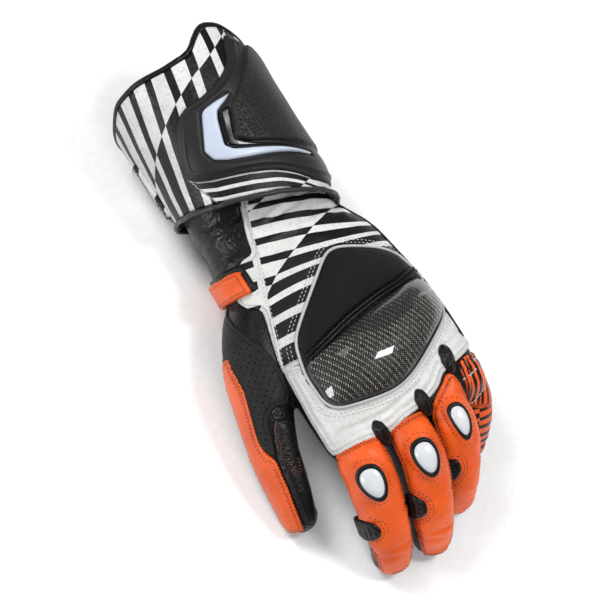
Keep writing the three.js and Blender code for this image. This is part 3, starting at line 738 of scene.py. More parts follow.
@dataclass
class HandForm:
    """The hand from the sleeve inside the cuff to the knuckles, as sections across y."""

    sections: Array = field(default_factory=lambda: np.array([
        # y, x, z, half, up, down, power
        [93, 4.6, 38.6, 40.5, 34.7, 36.1, 2.2],
        [78, 7.0, 33.5, 38.2, 28.0, 28.5, 2.3],
        [62, 8.6, 30.0, 39.0, 24.0, 23.5, 2.3],
        [44, 10.6, 30.0, 40.6, 24.0, 23.6, 2.3],
        [23, 15.5, 31.0, 47.5, 24.0, 27.0, 2.4],
        [0, 19.5, 33.0, 49.0, 23.0, 27.0, 2.5],
        [-25, 22.0, 36.0, 50.5, 23.0, 25.0, 2.6],
        [-50, 22.0, 39.5, 51.0, 22.0, 21.5, 2.7],
        [-70, 22.0, 41.0, 51.0, 19.5, 18.0, 2.7],
        [-82, 22.0, 41.0, 50.0, 16.0, 16.0, 2.6],
    ]))
    nose_length: float = 9.0
    nose_narrowing: float = 16.0

    def __post_init__(self) -> None:
        """Works out the tables for laying patterns on the hand."""
        self.last = len(self.sections) - 1
        self.places = np.linspace(0, self.last + 0.96, 140)
        self.angles = np.arange(260.0, -80.1, -2.0)
        place, angle = np.meshgrid(self.places, self.angles, indexing="ij")
        points = self.point(angle.ravel(), place.ravel()).reshape(*place.shape, 3)
        steps = np.linalg.norm(np.diff(points[..., [0, 2]], axis=1), axis=2)
        arc = np.concatenate([np.zeros((len(self.places), 1)), np.cumsum(steps, 1)], 1)
        top = np.array([np.interp(-90, -self.angles, row) for row in arc])
        self.arc = arc - top[:, None]
        self.place_y = points[:, 0, 1]

    def point(self, degrees: Array, place: Array, grow: float = 0.0) -> Array:
        """Returns points of the hand's surface, or of one that lies a little over or under it.

        Args:
            degrees: Angles round the section, from the little-finger side over the top.
            place: Places along the table of sections, where 0 is its first row.
            grow: How far outside the surface.

        Returns:
            The points in millimetres.
        """
        place = np.asarray(place, float)
        rows = curve_through(self.sections, place)
        y, x, z, half, up, down, power = rows.T
        turn = np.maximum(place - self.last, 0) * np.pi / 2
        half = half - self.nose_narrowing * (1 - np.cos(turn))
        up = (up + grow) * np.cos(turn)
        down = (down + grow) * np.cos(turn)
        side, lift = superellipse(degrees, half + grow, up, down, power)
        height = np.maximum(z + lift, max(-grow, 0.0))
        return np.stack([x + side, y - np.sin(turn) * (self.nose_length + grow), height], -1)

    def place_of(self, y: Array) -> Array:
        """Returns the places in the table where y has the given values."""
        return np.interp(-np.asarray(y, float), -self.place_y, self.places)

    def top(self, x: Array, y: Array, grow: float = 0.0) -> Array:
        """Returns the height of the back of the hand above x and y.

        Args:
            x: Places across the hand.
            y: Places along the glove.
            grow: How far outside the surface.

        Returns:
            The heights of the points.
        """
        rows = curve_through(self.sections, self.place_of(y))
        across = np.clip(np.abs(x - rows[:, 1]) / (rows[:, 3] + grow), 0, 1)
        return rows[:, 2] + (rows[:, 4] + grow) * (1 - across ** rows[:, 6]) ** (1 / rows[:, 6])

    def lay_flat(self, pattern: Array) -> Array:
        """Lays places seen from above, as x and y, on the hand."""
        return np.column_stack([pattern, self.top(pattern[:, 0], pattern[:, 1])])

    def flatten(self, outline: Sequence[Sequence[float]], lowest: float) -> list[list[float]]:
        """Unrolls points seen from above into the hand's flat pattern.

        Args:
            outline: Points as x and y.
            lowest: No point goes lower than this height on the hand's side.

        Returns:
            The points as the distance round the hand from its top, and y.
        """
        found = []
        for x, y in outline:
            place = float(self.place_of(np.array([y]))[0])
            centre = curve_through(self.sections, np.array([place]))[0, 1]
            sweep = np.arange(90.0, -40.0, -0.5) if x > centre else np.arange(90.0, 220.0, 0.5)
            points = self.point(sweep, np.full(len(sweep), place))
            past = np.abs(points[:, 0] - centre) >= abs(x - centre)
            past |= points[:, 2] <= lowest
            past[-1] = True
            row = int(np.abs(self.places - place).argmin())
            found.append([float(np.interp(-sweep[past.argmax()], -self.angles, self.arc[row])), y])
        return found

    def unroll(self, degrees: float, y: float) -> list[float]:
        """Returns the flat pattern's place for an angle and y."""
        row = int(np.abs(self.places - float(self.place_of(np.array([y]))[0])).argmin())
        return [float(np.interp(-degrees, -self.angles, self.arc[row])), y]

    def lay(self, pattern: Array) -> Array:
        """Lays flat pattern places, as the distance round from the top and y, on the hand.

        Args:
            pattern: Places in the flat pattern.

        Returns:
            The points of the glove over them.
        """
        place = self.place_of(pattern[:, 1])
        row = np.interp(place, self.places, np.arange(len(self.places)))
        low = np.minimum(np.floor(row).astype(int), len(self.places) - 2)
        degrees = np.empty(len(pattern))
        for i in np.unique(low):
            at = low == i
            here = np.interp(pattern[at, 0], self.arc[i], self.angles)
            there = np.interp(pattern[at, 0], self.arc[i + 1], self.angles)
            degrees[at] = here + (there - here) * (row[at] - i)
        return self.point(degrees, place)


@dataclass
class FingerForm:
    """A finger or thumb: sections across a bent centre line, with a round tip."""

    name: str
    sections: Array
    nose: float
    roll: float
    power: float = 2.15
    arc_per_degree: float = 0.21

    def __post_init__(self) -> None:
        """Works out how far along the finger each place in its table is."""
        self.last = len(self.sections) - 1
        self.places = np.linspace(0, self.last + 1, 160)
        centre = curve_through(self.sections, self.places)[:, :3]
        steps = np.linalg.norm(np.diff(centre, axis=0), axis=1)
        steps += np.diff(np.maximum(self.places - self.last, 0)) * self.nose * np.pi / 2
        self.length = np.concatenate([[0], np.cumsum(steps)])

    def point(self, degrees: Array, place: Array, grow: float | Array = 0.0) -> Array:
        """Returns points of the finger's surface, or of one that lies a little over or under it.

        Args:
            degrees: Angles round the section, from the little-finger side over the top.
            place: Places along the table of sections, where 0 is its first row.
            grow: How far outside the surface.

        Returns:
            The points in millimetres.
        """
        place = np.asarray(place, float)
        rows = curve_through(self.sections, place)
        reach = np.minimum(place + 0.01, self.last)
        ahead = curve_through(self.sections, reach)[:, :3] - curve_through(self.sections, reach - 0.02)[:, :3]
        ahead /= np.linalg.norm(ahead, axis=1, keepdims=True)
        side = np.cross([0.0, 0.0, 1.0], ahead)
        side /= np.linalg.norm(side, axis=1, keepdims=True)
        lift = np.cross(ahead, side)
        c, s = math.cos(math.radians(self.roll)), math.sin(math.radians(self.roll))
        side, lift = side * c + lift * s, lift * c - side * s
        turn = np.maximum(place - self.last, 0) * np.pi / 2
        half, up, down = (rows[:, column] + grow for column in (3, 4, 5))
        across, over = superellipse(degrees, half, up, down, self.power)
        points = rows[:, :3] + ahead * (np.sin(turn) * (self.nose + grow))[:, None]
        points += (side * across[:, None] + lift * over[:, None]) * np.cos(turn)[:, None]
        points[:, 2] = np.maximum(points[:, 2], np.maximum(-grow, 0.0))
        return points

    def along(self, place: float) -> float:
        """Returns the distance along the finger at a place in its table."""
        return float(np.interp(place, self.places, self.length))

    def lay(self, pattern: Array, grow: float | Array = 0.0) -> Array:
        """Lays flat pattern places, as the distance round from the top and along, on or over the finger."""
        place = np.interp(pattern[:, 1], self.length, self.places)
        return self.point(90 - pattern[:, 0] / self.arc_per_degree, place, grow)

    def spot(self, degrees: float, place: float) -> Array:
        """Returns the flat pattern's place for an angle and a place in the table."""
        return np.array([(90 - degrees) * self.arc_per_degree, self.along(place)])

    def stretch(self, degrees: float, place: float) -> tuple[float, float]:
        """Returns how much larger the surface is than the flat pattern, across and along the finger.

        Args:
            degrees: An angle round the section.
            place: A place along the table of sections.

        Returns:
            The stretch across and the stretch along.
        """
        angles = np.array([degrees - 1, degrees + 1, degrees, degrees])
        places = np.array([place, place, place - 0.05, place + 0.05])
        one, two, three, four = self.point(angles, places, ON_BACK)
        along = self.along(place + 0.05) - self.along(place - 0.05)
        across = float(np.linalg.norm(two - one)) / (2 * self.arc_per_degree)
        return across, float(np.linalg.norm(four - three)) / along

    def band(self, rows: Sequence[Sequence[float]]) -> Outline:
        """Turns rows of a place and two angles into a flat pattern.

        Args:
            rows: Rows of a place, the angle where the band starts and the angle where it ends.

        Returns:
            The band's outline in the flat pattern.
        """
        fine = curve(rows, 6 * len(rows))
        one = [self.spot(start, place) for place, start, _ in fine]
        other = [self.spot(end, place) for place, _, end in fine]
        return Outline(one + other[::-1], smooth=False).rounded(3)


@dataclass
class CuffForm:
    """The flared cuff, as sections across y, with the edges that cut it."""

    sections: Array = field(default_factory=lambda: np.array([
        # y, x, z, half, up, down, power
        [40, 12.2, 33.0, 43.4, 32.0, 31.5, 2.2],
        [57, 9.6, 35.0, 43.6, 33.5, 33.5, 2.2],
        [85, 5.4, 38.0, 43.0, 36.5, 38.4, 2.2],
        [110, 2.8, 40.0, 43.4, 39.0, 41.8, 2.2],
        [140, 0.3, 42.0, 44.4, 41.0, 43.8, 2.2],
        [165, -2.0, 42.0, 45.0, 41.5, 43.8, 2.2],
    ]))
    edges: Array = field(default_factory=lambda: np.array([
        # angle, hem, rim
        [0, 43, 138], [20, 45, 139], [40, 47, 145], [55, 49, 152], [70, 52, 154], [80, 55, 149],
        [90, 57, 141], [110, 61, 139], [135, 66, 140], [160, 70, 138], [180, 72, 132], [205, 72, 126],
        [225, 72, 124], [270, 62, 124], [315, 48, 128], [360, 43, 138],
    ], float))
    # angle, low and high y of the moulded plate
    plate: Points = (
        (140, 83, 89), (135, 80, 98), (124, 76.5, 111), (112, 74, 116.6), (97, 70.8, 118.4),
        (82, 66.3, 123.4), (69, 61, 131.5), (56, 55, 146), (40, 52, 140), (20, 51, 134), (4, 51, 130))
    arc_per_degree: float = 0.75
    pinch: float = 3.0             # how far the hem is drawn in on the little finger's side

    def point(self, degrees: Array, y: Array, grow: float = 0.0) -> Array:
        """Returns points of the cuff's surface at angles and y values.

        Args:
            degrees: Angles round the section, from the little-finger side over the top.
            y: Places along the glove.
            grow: How far outside the surface.

        Returns:
            The points in millimetres.
        """
        table = np.linspace(0, len(self.sections) - 1, 120)
        place = np.interp(y, curve_through(self.sections, table)[:, 0], table)
        _, x, z, half, up, down, power = curve_through(self.sections, place).T
        turn = np.mod(np.asarray(degrees, float) + 90, 360) - 90
        half = half - self.pinch * dip(turn, 14, 38) * smooth_step(66 - np.asarray(y, float), 0, 16)
        side, lift = superellipse(degrees, half + grow, up + grow, down + grow, power)
        return np.stack([x + side, np.asarray(y, float), np.maximum(z + lift, max(-grow, 0.0))], -1)

    def edge(self, degrees: Array, share: Array) -> Array:
        """Returns y between the hem, share 0, and the rim, share 1, at each angle.

        Args:
            degrees: Angles round the section, from the little-finger side over the top.
            share: Shares of the way from the hem to the rim.

        Returns:
            The y values.
        """
        round_off = np.linspace(-4.5, 4.5, 7)
        turned = np.mod(np.asarray(degrees, float)[:, None] + round_off, 360)
        hem = np.interp(turned, self.edges[:, 0], self.edges[:, 1]).mean(1)
        rim = np.interp(turned, self.edges[:, 0], self.edges[:, 2]).mean(1)
        return hem + (rim - hem) * share

    def lay(self, pattern: Array) -> Array:
        """Lays flat pattern places, as the distance round from the top and y, on the cuff."""
        return self.point(90 - pattern[:, 0] / self.arc_per_degree, pattern[:, 1])

    def band(self, rows: Sequence[Sequence[float]], rounds: int = 1) -> Outline:
        """Turns rows of an angle, a low and a high y into a flat pattern.

        Args:
            rows: Rows of an angle, a low and a high y.
            rounds: How much its corners are rounded off.

        Returns:
            The band's outline in the flat pattern.
        """
        fine = curve(rows, 6 * len(rows))
        low = [[(90 - angle) * self.arc_per_degree, start] for angle, start, _ in fine]
        high = [[(90 - angle) * self.arc_per_degree, end] for angle, _, end in fine]
        return Outline(low + high[::-1], smooth=False).rounded(rounds)


def positions(bm: bmesh.types.BMesh) -> Array:
    """Returns where the mesh's vertices are."""
    return np.array([vertex.co for vertex in bm.verts]).reshape(-1, 3)


def move_to(bm: bmesh.types.BMesh, points: Array) -> None:
    """Puts the mesh's vertices where the points are.

    Args:
        bm: The mesh.
        points: A new place for each vertex.
    """
    for vertex, point in zip(bm.verts, points):
        vertex.co = point
    bm.normal_update()


def directions(bm: bmesh.types.BMesh) -> Array:
    """Returns which way the mesh's vertices face."""
    bm.normal_update()
    return np.array([vertex.normal for vertex in bm.verts])


def even_out(bm: bmesh.types.BMesh, verts: list[bmesh.types.BMVert], rounds: int) -> None:
    """Moves vertices half of the way to the middle of their neighbours, once for each round."""
    for _ in range(rounds):
        bmesh.ops.smooth_vert(bm, verts=verts, factor=0.5, use_axis_x=True, use_axis_y=True, use_axis_z=True)


def write_field(bm: bmesh.types.BMesh, name: str, values: Array) -> None:
    """Writes one number for each vertex, under a name that the finishes read.

    Args:
        bm: The mesh.
        name: What the number is called.
        values: One number for each vertex.
    """
    layer = bm.verts.layers.float.get(name) or bm.verts.layers.float.new(name)
    for vertex, value in zip(bm.verts, values):
        vertex[layer] = float(value)


def rolled(surface: Callable[[Array, Array], Array], around: int, along: int, capped: bool = True,
           uv_scale: Optional[tuple[float, float]] = None,
           fields: Optional[Callable[[Array, Array], dict[str, Array]]] = None) -> bmesh.types.BMesh:
    """Rolls a grid into a skin, and closes its seam, its poles and its ends.

    Args:
        surface: Gives points from shares of the way around and along.
        around: Faces around.
        along: Faces along.
        capped: Whether open ends are filled.
        uv_scale: Size of the pattern around and along for a UV map, in millimetres.
        fields: Gives named numbers for each place, which the finishes read.

    Returns:
        The skin as a mesh.
    """
    bm = bmesh.new()
    bmesh.ops.create_grid(bm, x_segments=around, y_segments=along, size=0.5)
    flat = positions(bm) + 0.5
    if uv_scale:
        write_uv(bm, flat[:, :2] * uv_scale)
    for name, values in (fields(flat[:, 0], flat[:, 1]) if fields else {}).items():
        write_field(bm, name, values)
    move_to(bm, surface(flat[:, 0], flat[:, 1]))
    bmesh.ops.remove_doubles(bm, verts=bm.verts[:], dist=1e-4)
    bmesh.ops.dissolve_degenerate(bm, dist=1e-5, edges=bm.edges[:])
    if capped:
        open_edges = [edge for edge in bm.edges if edge.is_boundary]
        if open_edges:
            bmesh.ops.holes_fill(bm, edges=open_edges, sides=0)
    bmesh.ops.recalc_face_normals(bm, faces=bm.faces[:])
    return bm


def write_uv(bm: bmesh.types.BMesh, places: Array) -> None:
    """Writes a UV map of pattern places, in millimetres, one for each vertex.

    Args:
        bm: The mesh.
        places: A flat place for each vertex.
    """
    layer = bm.loops.layers.uv.verify()
    bm.verts.index_update()
    for face in bm.faces:
        for loop in face.loops:
            loop[layer].uv = places[loop.vert.index]


def tube(path: Array, radii: Array, closed: bool, sides: int = 12,
         flatten: float = 1.0, lift: Optional[Array] = None) -> bmesh.types.BMesh:
    """Makes a round or flattened cord along a path.

    Args:
        path: The cord's middle line.
        radii: Its radius at each point of the path.
        closed: Whether it joins itself.
        sides: Faces around.
        flatten: Its thickness along lift, as a share of its width.
        lift: One direction for each point that its height is measured along, up if left out.

    Returns:
        The cord as a mesh.
    """
    count = len(path)
    lift = np.tile([0.0, 0.0, 1.0], (count, 1)) if lift is None else lift
    ahead = np.roll(path, -1, 0) - np.roll(path, 1, 0) if closed else np.gradient(path, axis=0)
    ahead = ahead / np.linalg.norm(ahead, axis=1, keepdims=True)
    side = np.cross(ahead, lift)
    side /= np.linalg.norm(side, axis=1, keepdims=True)
    over = np.cross(side, ahead)

    def surface(u: Array, v: Array) -> Array:
        """Gives the cord's surface.

        Args:
            u: Shares of the way round.
            v: Shares of the way along.

        Returns:
            Its points.
        """
        row = np.rint(v * (count if closed else count - 1)).astype(int) % count
        angle = 2 * np.pi * u
        wide = side[row] * (np.cos(angle) * radii[row])[:, None]
        high = over[row] * (np.sin(angle) * radii[row] * flatten)[:, None]
        return path[row] + wide + high

    length = float(np.linalg.norm(np.diff(path, axis=0), axis=1).sum())
    around = 2 * math.pi * float(np.mean(radii))
    return rolled(surface, sides, count if closed else count - 1, not closed, (around, length))


def cut_sheet(outline: Outline, cell: float) -> bmesh.types.BMesh:
    """Cuts a flat sheet of even squares along an outline.

    Args:
        outline: The line to cut along.
        cell: Size of the squares.

    Returns:
        The sheet, flat at height 0, with its edge on the line.
    """
    low, high = outline.points.min(0) - cell, outline.points.max(0) + cell
    columns, rows = np.ceil((high - low) / cell).astype(int)
    bm = bmesh.new()
    bmesh.ops.create_grid(bm, x_segments=int(columns), y_segments=int(rows), size=0.5)
    flat = positions(bm)
    flat[:, :2] = low + (flat[:, :2] + 0.5) * (columns * cell, rows * cell)
    move_to(bm, flat)
    bm.faces.ensure_lookup_table()
    middles = np.array([face.calc_center_median() for face in bm.faces])[:, :2]
    outside = outline.distance(middles) < 0.0
    bmesh.ops.delete(bm, geom=[bm.faces[i] for i in np.flatnonzero(outside)], context="FACES")
    loose = [vertex for vertex in bm.verts if not vertex.link_faces]
    bmesh.ops.delete(bm, geom=loose, context="VERTS")
    rim = [vertex for vertex in bm.verts if vertex.is_boundary]
    spots, _ = outline.nearest(np.array([vertex.co[:2] for vertex in rim]))
    for vertex, spot in zip(rim, spots):
        vertex.co = (*spot, 0)
    near = [vertex for vertex in bm.verts if not vertex.is_boundary
            and any(edge.other_vert(vertex).is_boundary for edge in vertex.link_edges)]
    even_out(bm, near, 2)
    bm.verts.index_update()
    return bm


def to_ground(points: Array, ground: BVHTree) -> tuple[Array, Array]:
    """Moves points to the nearest places of a mesh.

    Args:
        points: The points.
        ground: The mesh.

    Returns:
        The places and the ground's directions there.
    """
    found = [ground.find_nearest(Vector(point)) for point in points]
    return np.array([hit[0] for hit in found]), np.array([hit[1] for hit in found])


def below(point: Array, ground: BVHTree) -> Optional[Vector]:
    """Returns the highest place of a mesh that is straight above or below a point."""
    return ground.ray_cast(Vector((point[0], point[1], OVERHEAD)), Vector((0, 0, -1)))[0]


def dropped(points: Array, ground: BVHTree) -> Array:
    """Moves points straight down on a mesh, or to its nearest place where there is nothing below."""
    return np.array([below(point, ground) or ground.find_nearest(Vector(point))[0] for point in points])


def spread(bm: bmesh.types.BMesh, rounds: int, ground: BVHTree) -> None:
    """Evens out a sheet inside its edge, and keeps it on the ground.

    Args:
        bm: The sheet.
        rounds: How often it is evened out.
        ground: What it lies on.
    """
    inner = [vertex for vertex in bm.verts if not vertex.is_boundary]
    even_out(bm, inner, rounds)
    places, _ = to_ground(np.array([vertex.co for vertex in inner]), ground)
    for vertex, place in zip(inner, places):
        vertex.co = place


def draft_object(bm: bmesh.types.BMesh) -> bpy.types.Object:
    """Makes an object for a while, to run a modifier on it.

    Args:
        bm: The mesh.

    Returns:
        The object.
    """
    mesh = bpy.data.meshes.new("draft")
    bm.to_mesh(mesh)
    draft = bpy.data.objects.new("draft", mesh)
    bpy.context.scene.collection.objects.link(draft)
    return draft


def drop_draft(draft: bpy.types.Object) -> None:
    """Removes an object that was made for a while.

    Args:
        draft: The object.
    """
    mesh = draft.data
    bpy.data.objects.remove(draft)
    bpy.data.meshes.remove(mesh)


def remeshed(bm: bmesh.types.BMesh, voxel: float) -> bmesh.types.BMesh:
    """Fuses overlapping closed forms into one even skin.

    Args:
        bm: The forms, which are freed.
        voxel: Size of the new faces.

    Returns:
        The skin.
    """
    draft = draft_object(bm)
    bm.free()
    fuse = draft.modifiers.new("fuse", "REMESH")
    fuse.mode = "VOXEL"
    fuse.voxel_size = voxel
    shaped = draft.evaluated_get(bpy.context.evaluated_depsgraph_get())
    skin = bmesh.new()
    skin.from_mesh(shaped.to_mesh())
    shaped.to_mesh_clear()
    drop_draft(draft)
    return skin


def finish_piece(bm: bmesh.types.BMesh, name: str, finishes: Sequence["Finish"], slot: str,
                 replaces: Sequence[str] = (), flat: bool = False) -> bpy.types.Object:
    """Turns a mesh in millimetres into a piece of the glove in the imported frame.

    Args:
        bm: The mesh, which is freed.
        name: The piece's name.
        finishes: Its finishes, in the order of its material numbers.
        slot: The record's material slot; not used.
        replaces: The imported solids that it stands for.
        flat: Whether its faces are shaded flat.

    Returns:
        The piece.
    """
    mesh = bpy.data.meshes.new(name)
    for vertex in bm.verts:
        vertex.co = (vertex.co - Vector(ORIGIN)) * MM
    for face in bm.faces:
        face.smooth = not flat
    bm.to_mesh(mesh)
    bm.free()
    for finish in finishes:
        mesh.materials.append(finish.material())
    piece = bpy.data.objects.new(name, mesh)
    bpy.context.scene.collection.objects.link(piece)
    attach(piece, ROOT)
    if replaces:
        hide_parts(*replaces)
    LOG.info("%s: %d faces, stands for %s", name, len(mesh.polygons), ", ".join(replaces) or "nothing")
    return piece


def settle(points: Array, ground: BVHTree) -> Array:
    """Lowers points on a mesh: from above where it stands higher than they are, else to its nearest place.

    Args:
        points: Points of the glove.
        ground: The surface under the points.

    Returns:
        The points, moved.
    """
    found = []
    for point in points:
        spot = below(point, ground)
        if spot is None or spot[2] < point[2] + 0.5:
            spot = ground.find_nearest(Vector(point))[0]
        found.append(spot)
    return np.array(found)


def thicken(bm: bmesh.types.BMesh, under: Array, over: Array) -> None:
    """Gives a sheet its thickness.

    Args:
        bm: The sheet.
        under: Where its lower side goes, one point for each vertex.
        over: Where its upper side goes.
    """
    order = bm.verts.layers.int.new("order")
    bm.verts.index_update()
    for vertex in bm.verts:
        vertex[order] = vertex.index
    made = bmesh.ops.extrude_face_region(bm, geom=bm.faces[:], use_keep_orig=True)["geom"]
    raised = {item for item in made if isinstance(item, bmesh.types.BMVert)}
    for vertex in bm.verts:
        vertex.co = over[vertex[order]] if vertex in raised else under[vertex[order]]
        vertex[order] = int(vertex in raised)
    bmesh.ops.recalc_face_normals(bm, faces=bm.faces[:])


def plumped(bm: bmesh.types.BMesh, sewn_mm: float, most: float, pressure: float = 4.0,
            frames: int = 20) -> None:
    """Swells a padded piece from inside with a cloth simulation, held where it is sewn.

    Args:
        bm: The closed piece, with its distance from the edge.
        sewn_mm: How far inside the edge it is held.
        most: How far a point may move, in millimetres.
        pressure: The air pressure inside.
        frames: How long the cloth moves.
    """
    order, depth = bm.verts.layers.int["order"], bm.verts.layers.float["edge_mm"]
    held = [vertex.index for vertex in bm.verts if not vertex[order] or vertex[depth] < sewn_mm]
    start = positions(bm)
    scale = 0.01                   # cloth moves best at about ten times the real size
    move_to(bm, start * scale)
    draft = draft_object(bm)
    draft.vertex_groups.new(name="sewn").add(held, 1.0, "REPLACE")
    cloth = draft.modifiers.new("swell", "CLOTH")
    cloth.settings.vertex_group_mass = "sewn"
    cloth.settings.use_pressure = True
    cloth.settings.uniform_pressure_force = pressure
    cloth.settings.quality = 6
    cloth.settings.effector_weights.gravity = 0
    cloth.collision_settings.use_collision = False
    cloth.point_cache.frame_start, cloth.point_cache.frame_end = 1, frames
    for frame_number in range(1, frames + 1):
        bpy.context.scene.frame_set(frame_number)
    swollen = draft.evaluated_get(bpy.context.evaluated_depsgraph_get())
    moved = np.array([vertex.co for vertex in swollen.data.vertices]) / scale - start
    length = np.linalg.norm(moved, axis=1, keepdims=True)
    moved *= np.minimum(1, most / np.maximum(length, 1e-6))
    bpy.context.scene.frame_set(1)
    drop_draft(draft)
    move_to(bm, start + moved)
    LOG.info("swelled by up to %.2f mm", float(np.linalg.norm(moved, axis=1).max()))


def soften(piece: bpy.types.Object) -> None:
    """Rounds a padded piece off.

    Args:
        piece: The piece.
    """
    modifier = piece.modifiers.new("soften", "SUBSURF")
    modifier.levels = modifier.render_levels = 1


@dataclass
class Seam:
    """A row of stitches beside an edge.

    The beads stand for lock stitches of heavy nylon thread.
    """

    depth: float                   # how far inside the edge the row runs
    thread: Finish
    pitch: float = 2.5
    length: float = 1.75
    width: float = 0.56


def rust_row(depth: float = 0.0) -> Seam:
    """Returns a row of the fine rust-coloured stitches on the orange hide."""
    return Seam(depth, THREAD_RUST, 2.0, 1.35, 0.6)


def sew(name: str, rows: Sequence[tuple[Seam, Array]], ground: BVHTree, slot: str) -> None:
    """Makes rows of stitches.

    Args:
        name: What they hold together.
        rows: The kind of seam and its line, as points near the ground.
        ground: What the stitches lie on.
        slot: The record's material slot.
    """
    threads = list(dict.fromkeys(seam.thread for seam, _ in rows))
    for thread in threads:
        bm = bmesh.new()
        for seam, line in rows:
            if seam.thread != thread or len(line) < 3:
                continue
            dots = even_line(line, seam.pitch, closed=False)
            spots, normals = to_ground(dots, ground)
            ahead = np.gradient(spots, axis=0)
            for spot, up, way in zip(spots, normals, ahead):
                up = Vector(up).normalized()
                forward = (Vector(way) - Vector(way).project(up)).normalized()
                turned = Matrix((forward, up.cross(forward), up)).transposed().to_4x4()
                size = Matrix.Diagonal((seam.length / 2, seam.width / 2, seam.width / 2, 1))
                place = Matrix.Translation(Vector(spot) + up * STITCH_LIFT) @ turned @ size
                bmesh.ops.create_uvsphere(bm, u_segments=6, v_segments=4, radius=1, matrix=place)
        finish_piece(bm, f"{name}_{thread.name}", [thread], slot)


@dataclass
class Panel:
    """A piece of hide or moulding, cut flat, laid on the glove and given its thickness."""

    name: str
    outline: Outline
    lay: Surface
    finish: Finish
    slot: str
    replaces: tuple[str, ...] = ()
    cell: float = 1.0
    height: float = 1.45
    edge_height: float = 0.45
    edge_round: float = 1.1
    sink: float = 0.35
    relief: Optional[Relief] = None
    fields: Optional[Callable[[Array, Array], dict[str, Array]]] = None
    seams: tuple[Seam, ...] = ()
    rounds: int = 6
    settled: bool = False

    def build(self, ground: BVHTree) -> BVHTree:
        """Makes the piece.

        Args:
            ground: What it lies on.

        Returns:
            The piece's upper skin, for what lies on it in turn.
        """
        bm, top = self.shape(ground)
        self.stitch(top)
        finish_piece(bm, self.name, [self.finish], self.slot, self.replaces)
        return top

    def shape(self, ground: BVHTree) -> tuple[bmesh.types.BMesh, BVHTree]:
        """Makes the piece's mesh.

        Args:
            ground: What it lies on.

        Returns:
            The closed mesh and its upper skin.
        """
        bm = cut_sheet(self.outline, self.cell)
        pattern = positions(bm)[:, :2]
        edge = np.maximum(self.outline.distance(pattern), 0)
        edge[[vertex.index for vertex in bm.verts if vertex.is_boundary]] = 0
        write_uv(bm, pattern)
        write_field(bm, "edge_mm", edge)
        for name, values in (self.fields(pattern, edge) if self.fields else {}).items():
            write_field(bm, name, values)
        spots = self.lay(pattern)
        spots = settle(spots, ground) if self.settled else to_ground(spots, ground)[0]
        move_to(bm, spots)
        spread(bm, self.rounds, ground)
        _, outward = to_ground(positions(bm), ground)
        base, normals = positions(bm), directions(bm)
        normals *= np.where((normals * outward).sum(1) < 0, -1, 1)[:, None]
        rise = self.height + (self.relief(pattern, edge) if self.relief else 0)
        rise = rounded_rise(edge, self.edge_round, self.edge_height, rise)
        over = base + normals * rise[:, None]
        over[:, 2] = np.maximum(over[:, 2], 0.2)
        sheet = bm.copy()
        move_to(sheet, over)
        top = BVHTree.FromBMesh(sheet)
        sheet.free()
        thicken(bm, base - normals * self.sink, over)
        return bm, top

    def stitch(self, top: BVHTree) -> None:
        """Sews the piece's seams on its upper skin.

        Args:
            top: The panel's top skin.
        """
        rows = []
        for seam in self.seams:
            line = self.outline.inset(seam.depth)
            rows.append((seam, self.lay(np.vstack([line, line[:1]]))))
        if rows:
            sew(f"{self.name}_stitches", rows, top, self.slot)


def beside(line: Array, step: float) -> Array:
    """Returns a flat line moved to its left side by a step.

    Args:
        line: The line's points, in order.
        step: How far to the side.

    Returns:
        The new line's points.
    """
    ahead = np.gradient(line, axis=0)
    side = np.stack([-ahead[:, 1], ahead[:, 0]], 1) / np.linalg.norm(ahead, axis=1, keepdims=True)
    return line + side * step


def past_line(line: Sequence[Sequence[float]], places: Array) -> Array:
    """Returns how far each place is from an open line, positive on its left side.

    Args:
        line: The line's points, in order.
        places: Places in the pattern.

    Returns:
        The distances in millimetres.
    """
    line = np.asarray(line, float)
    start, along = line[:-1], np.diff(line, axis=0)
    offset = places[:, None] - start[None]
    share = (offset * along[None]).sum(2) / (along**2).sum(1)[None]
    low = np.where(np.arange(len(along)) == 0, -50.0, 0.0)
    high = np.where(np.arange(len(along)) == len(along) - 1, 51.0, 1.0)
    share = np.clip(share, low, high)
    gap = offset - share[..., None] * along[None]
    distance = np.linalg.norm(gap, axis=2)
    best = distance.argmin(1)
    rows = np.arange(len(places))
    cross = along[best, 0] * offset[rows, best, 1] - along[best, 1] * offset[rows, best, 0]
    return np.where(cross > 0, 1, -1) * distance[rows, best]


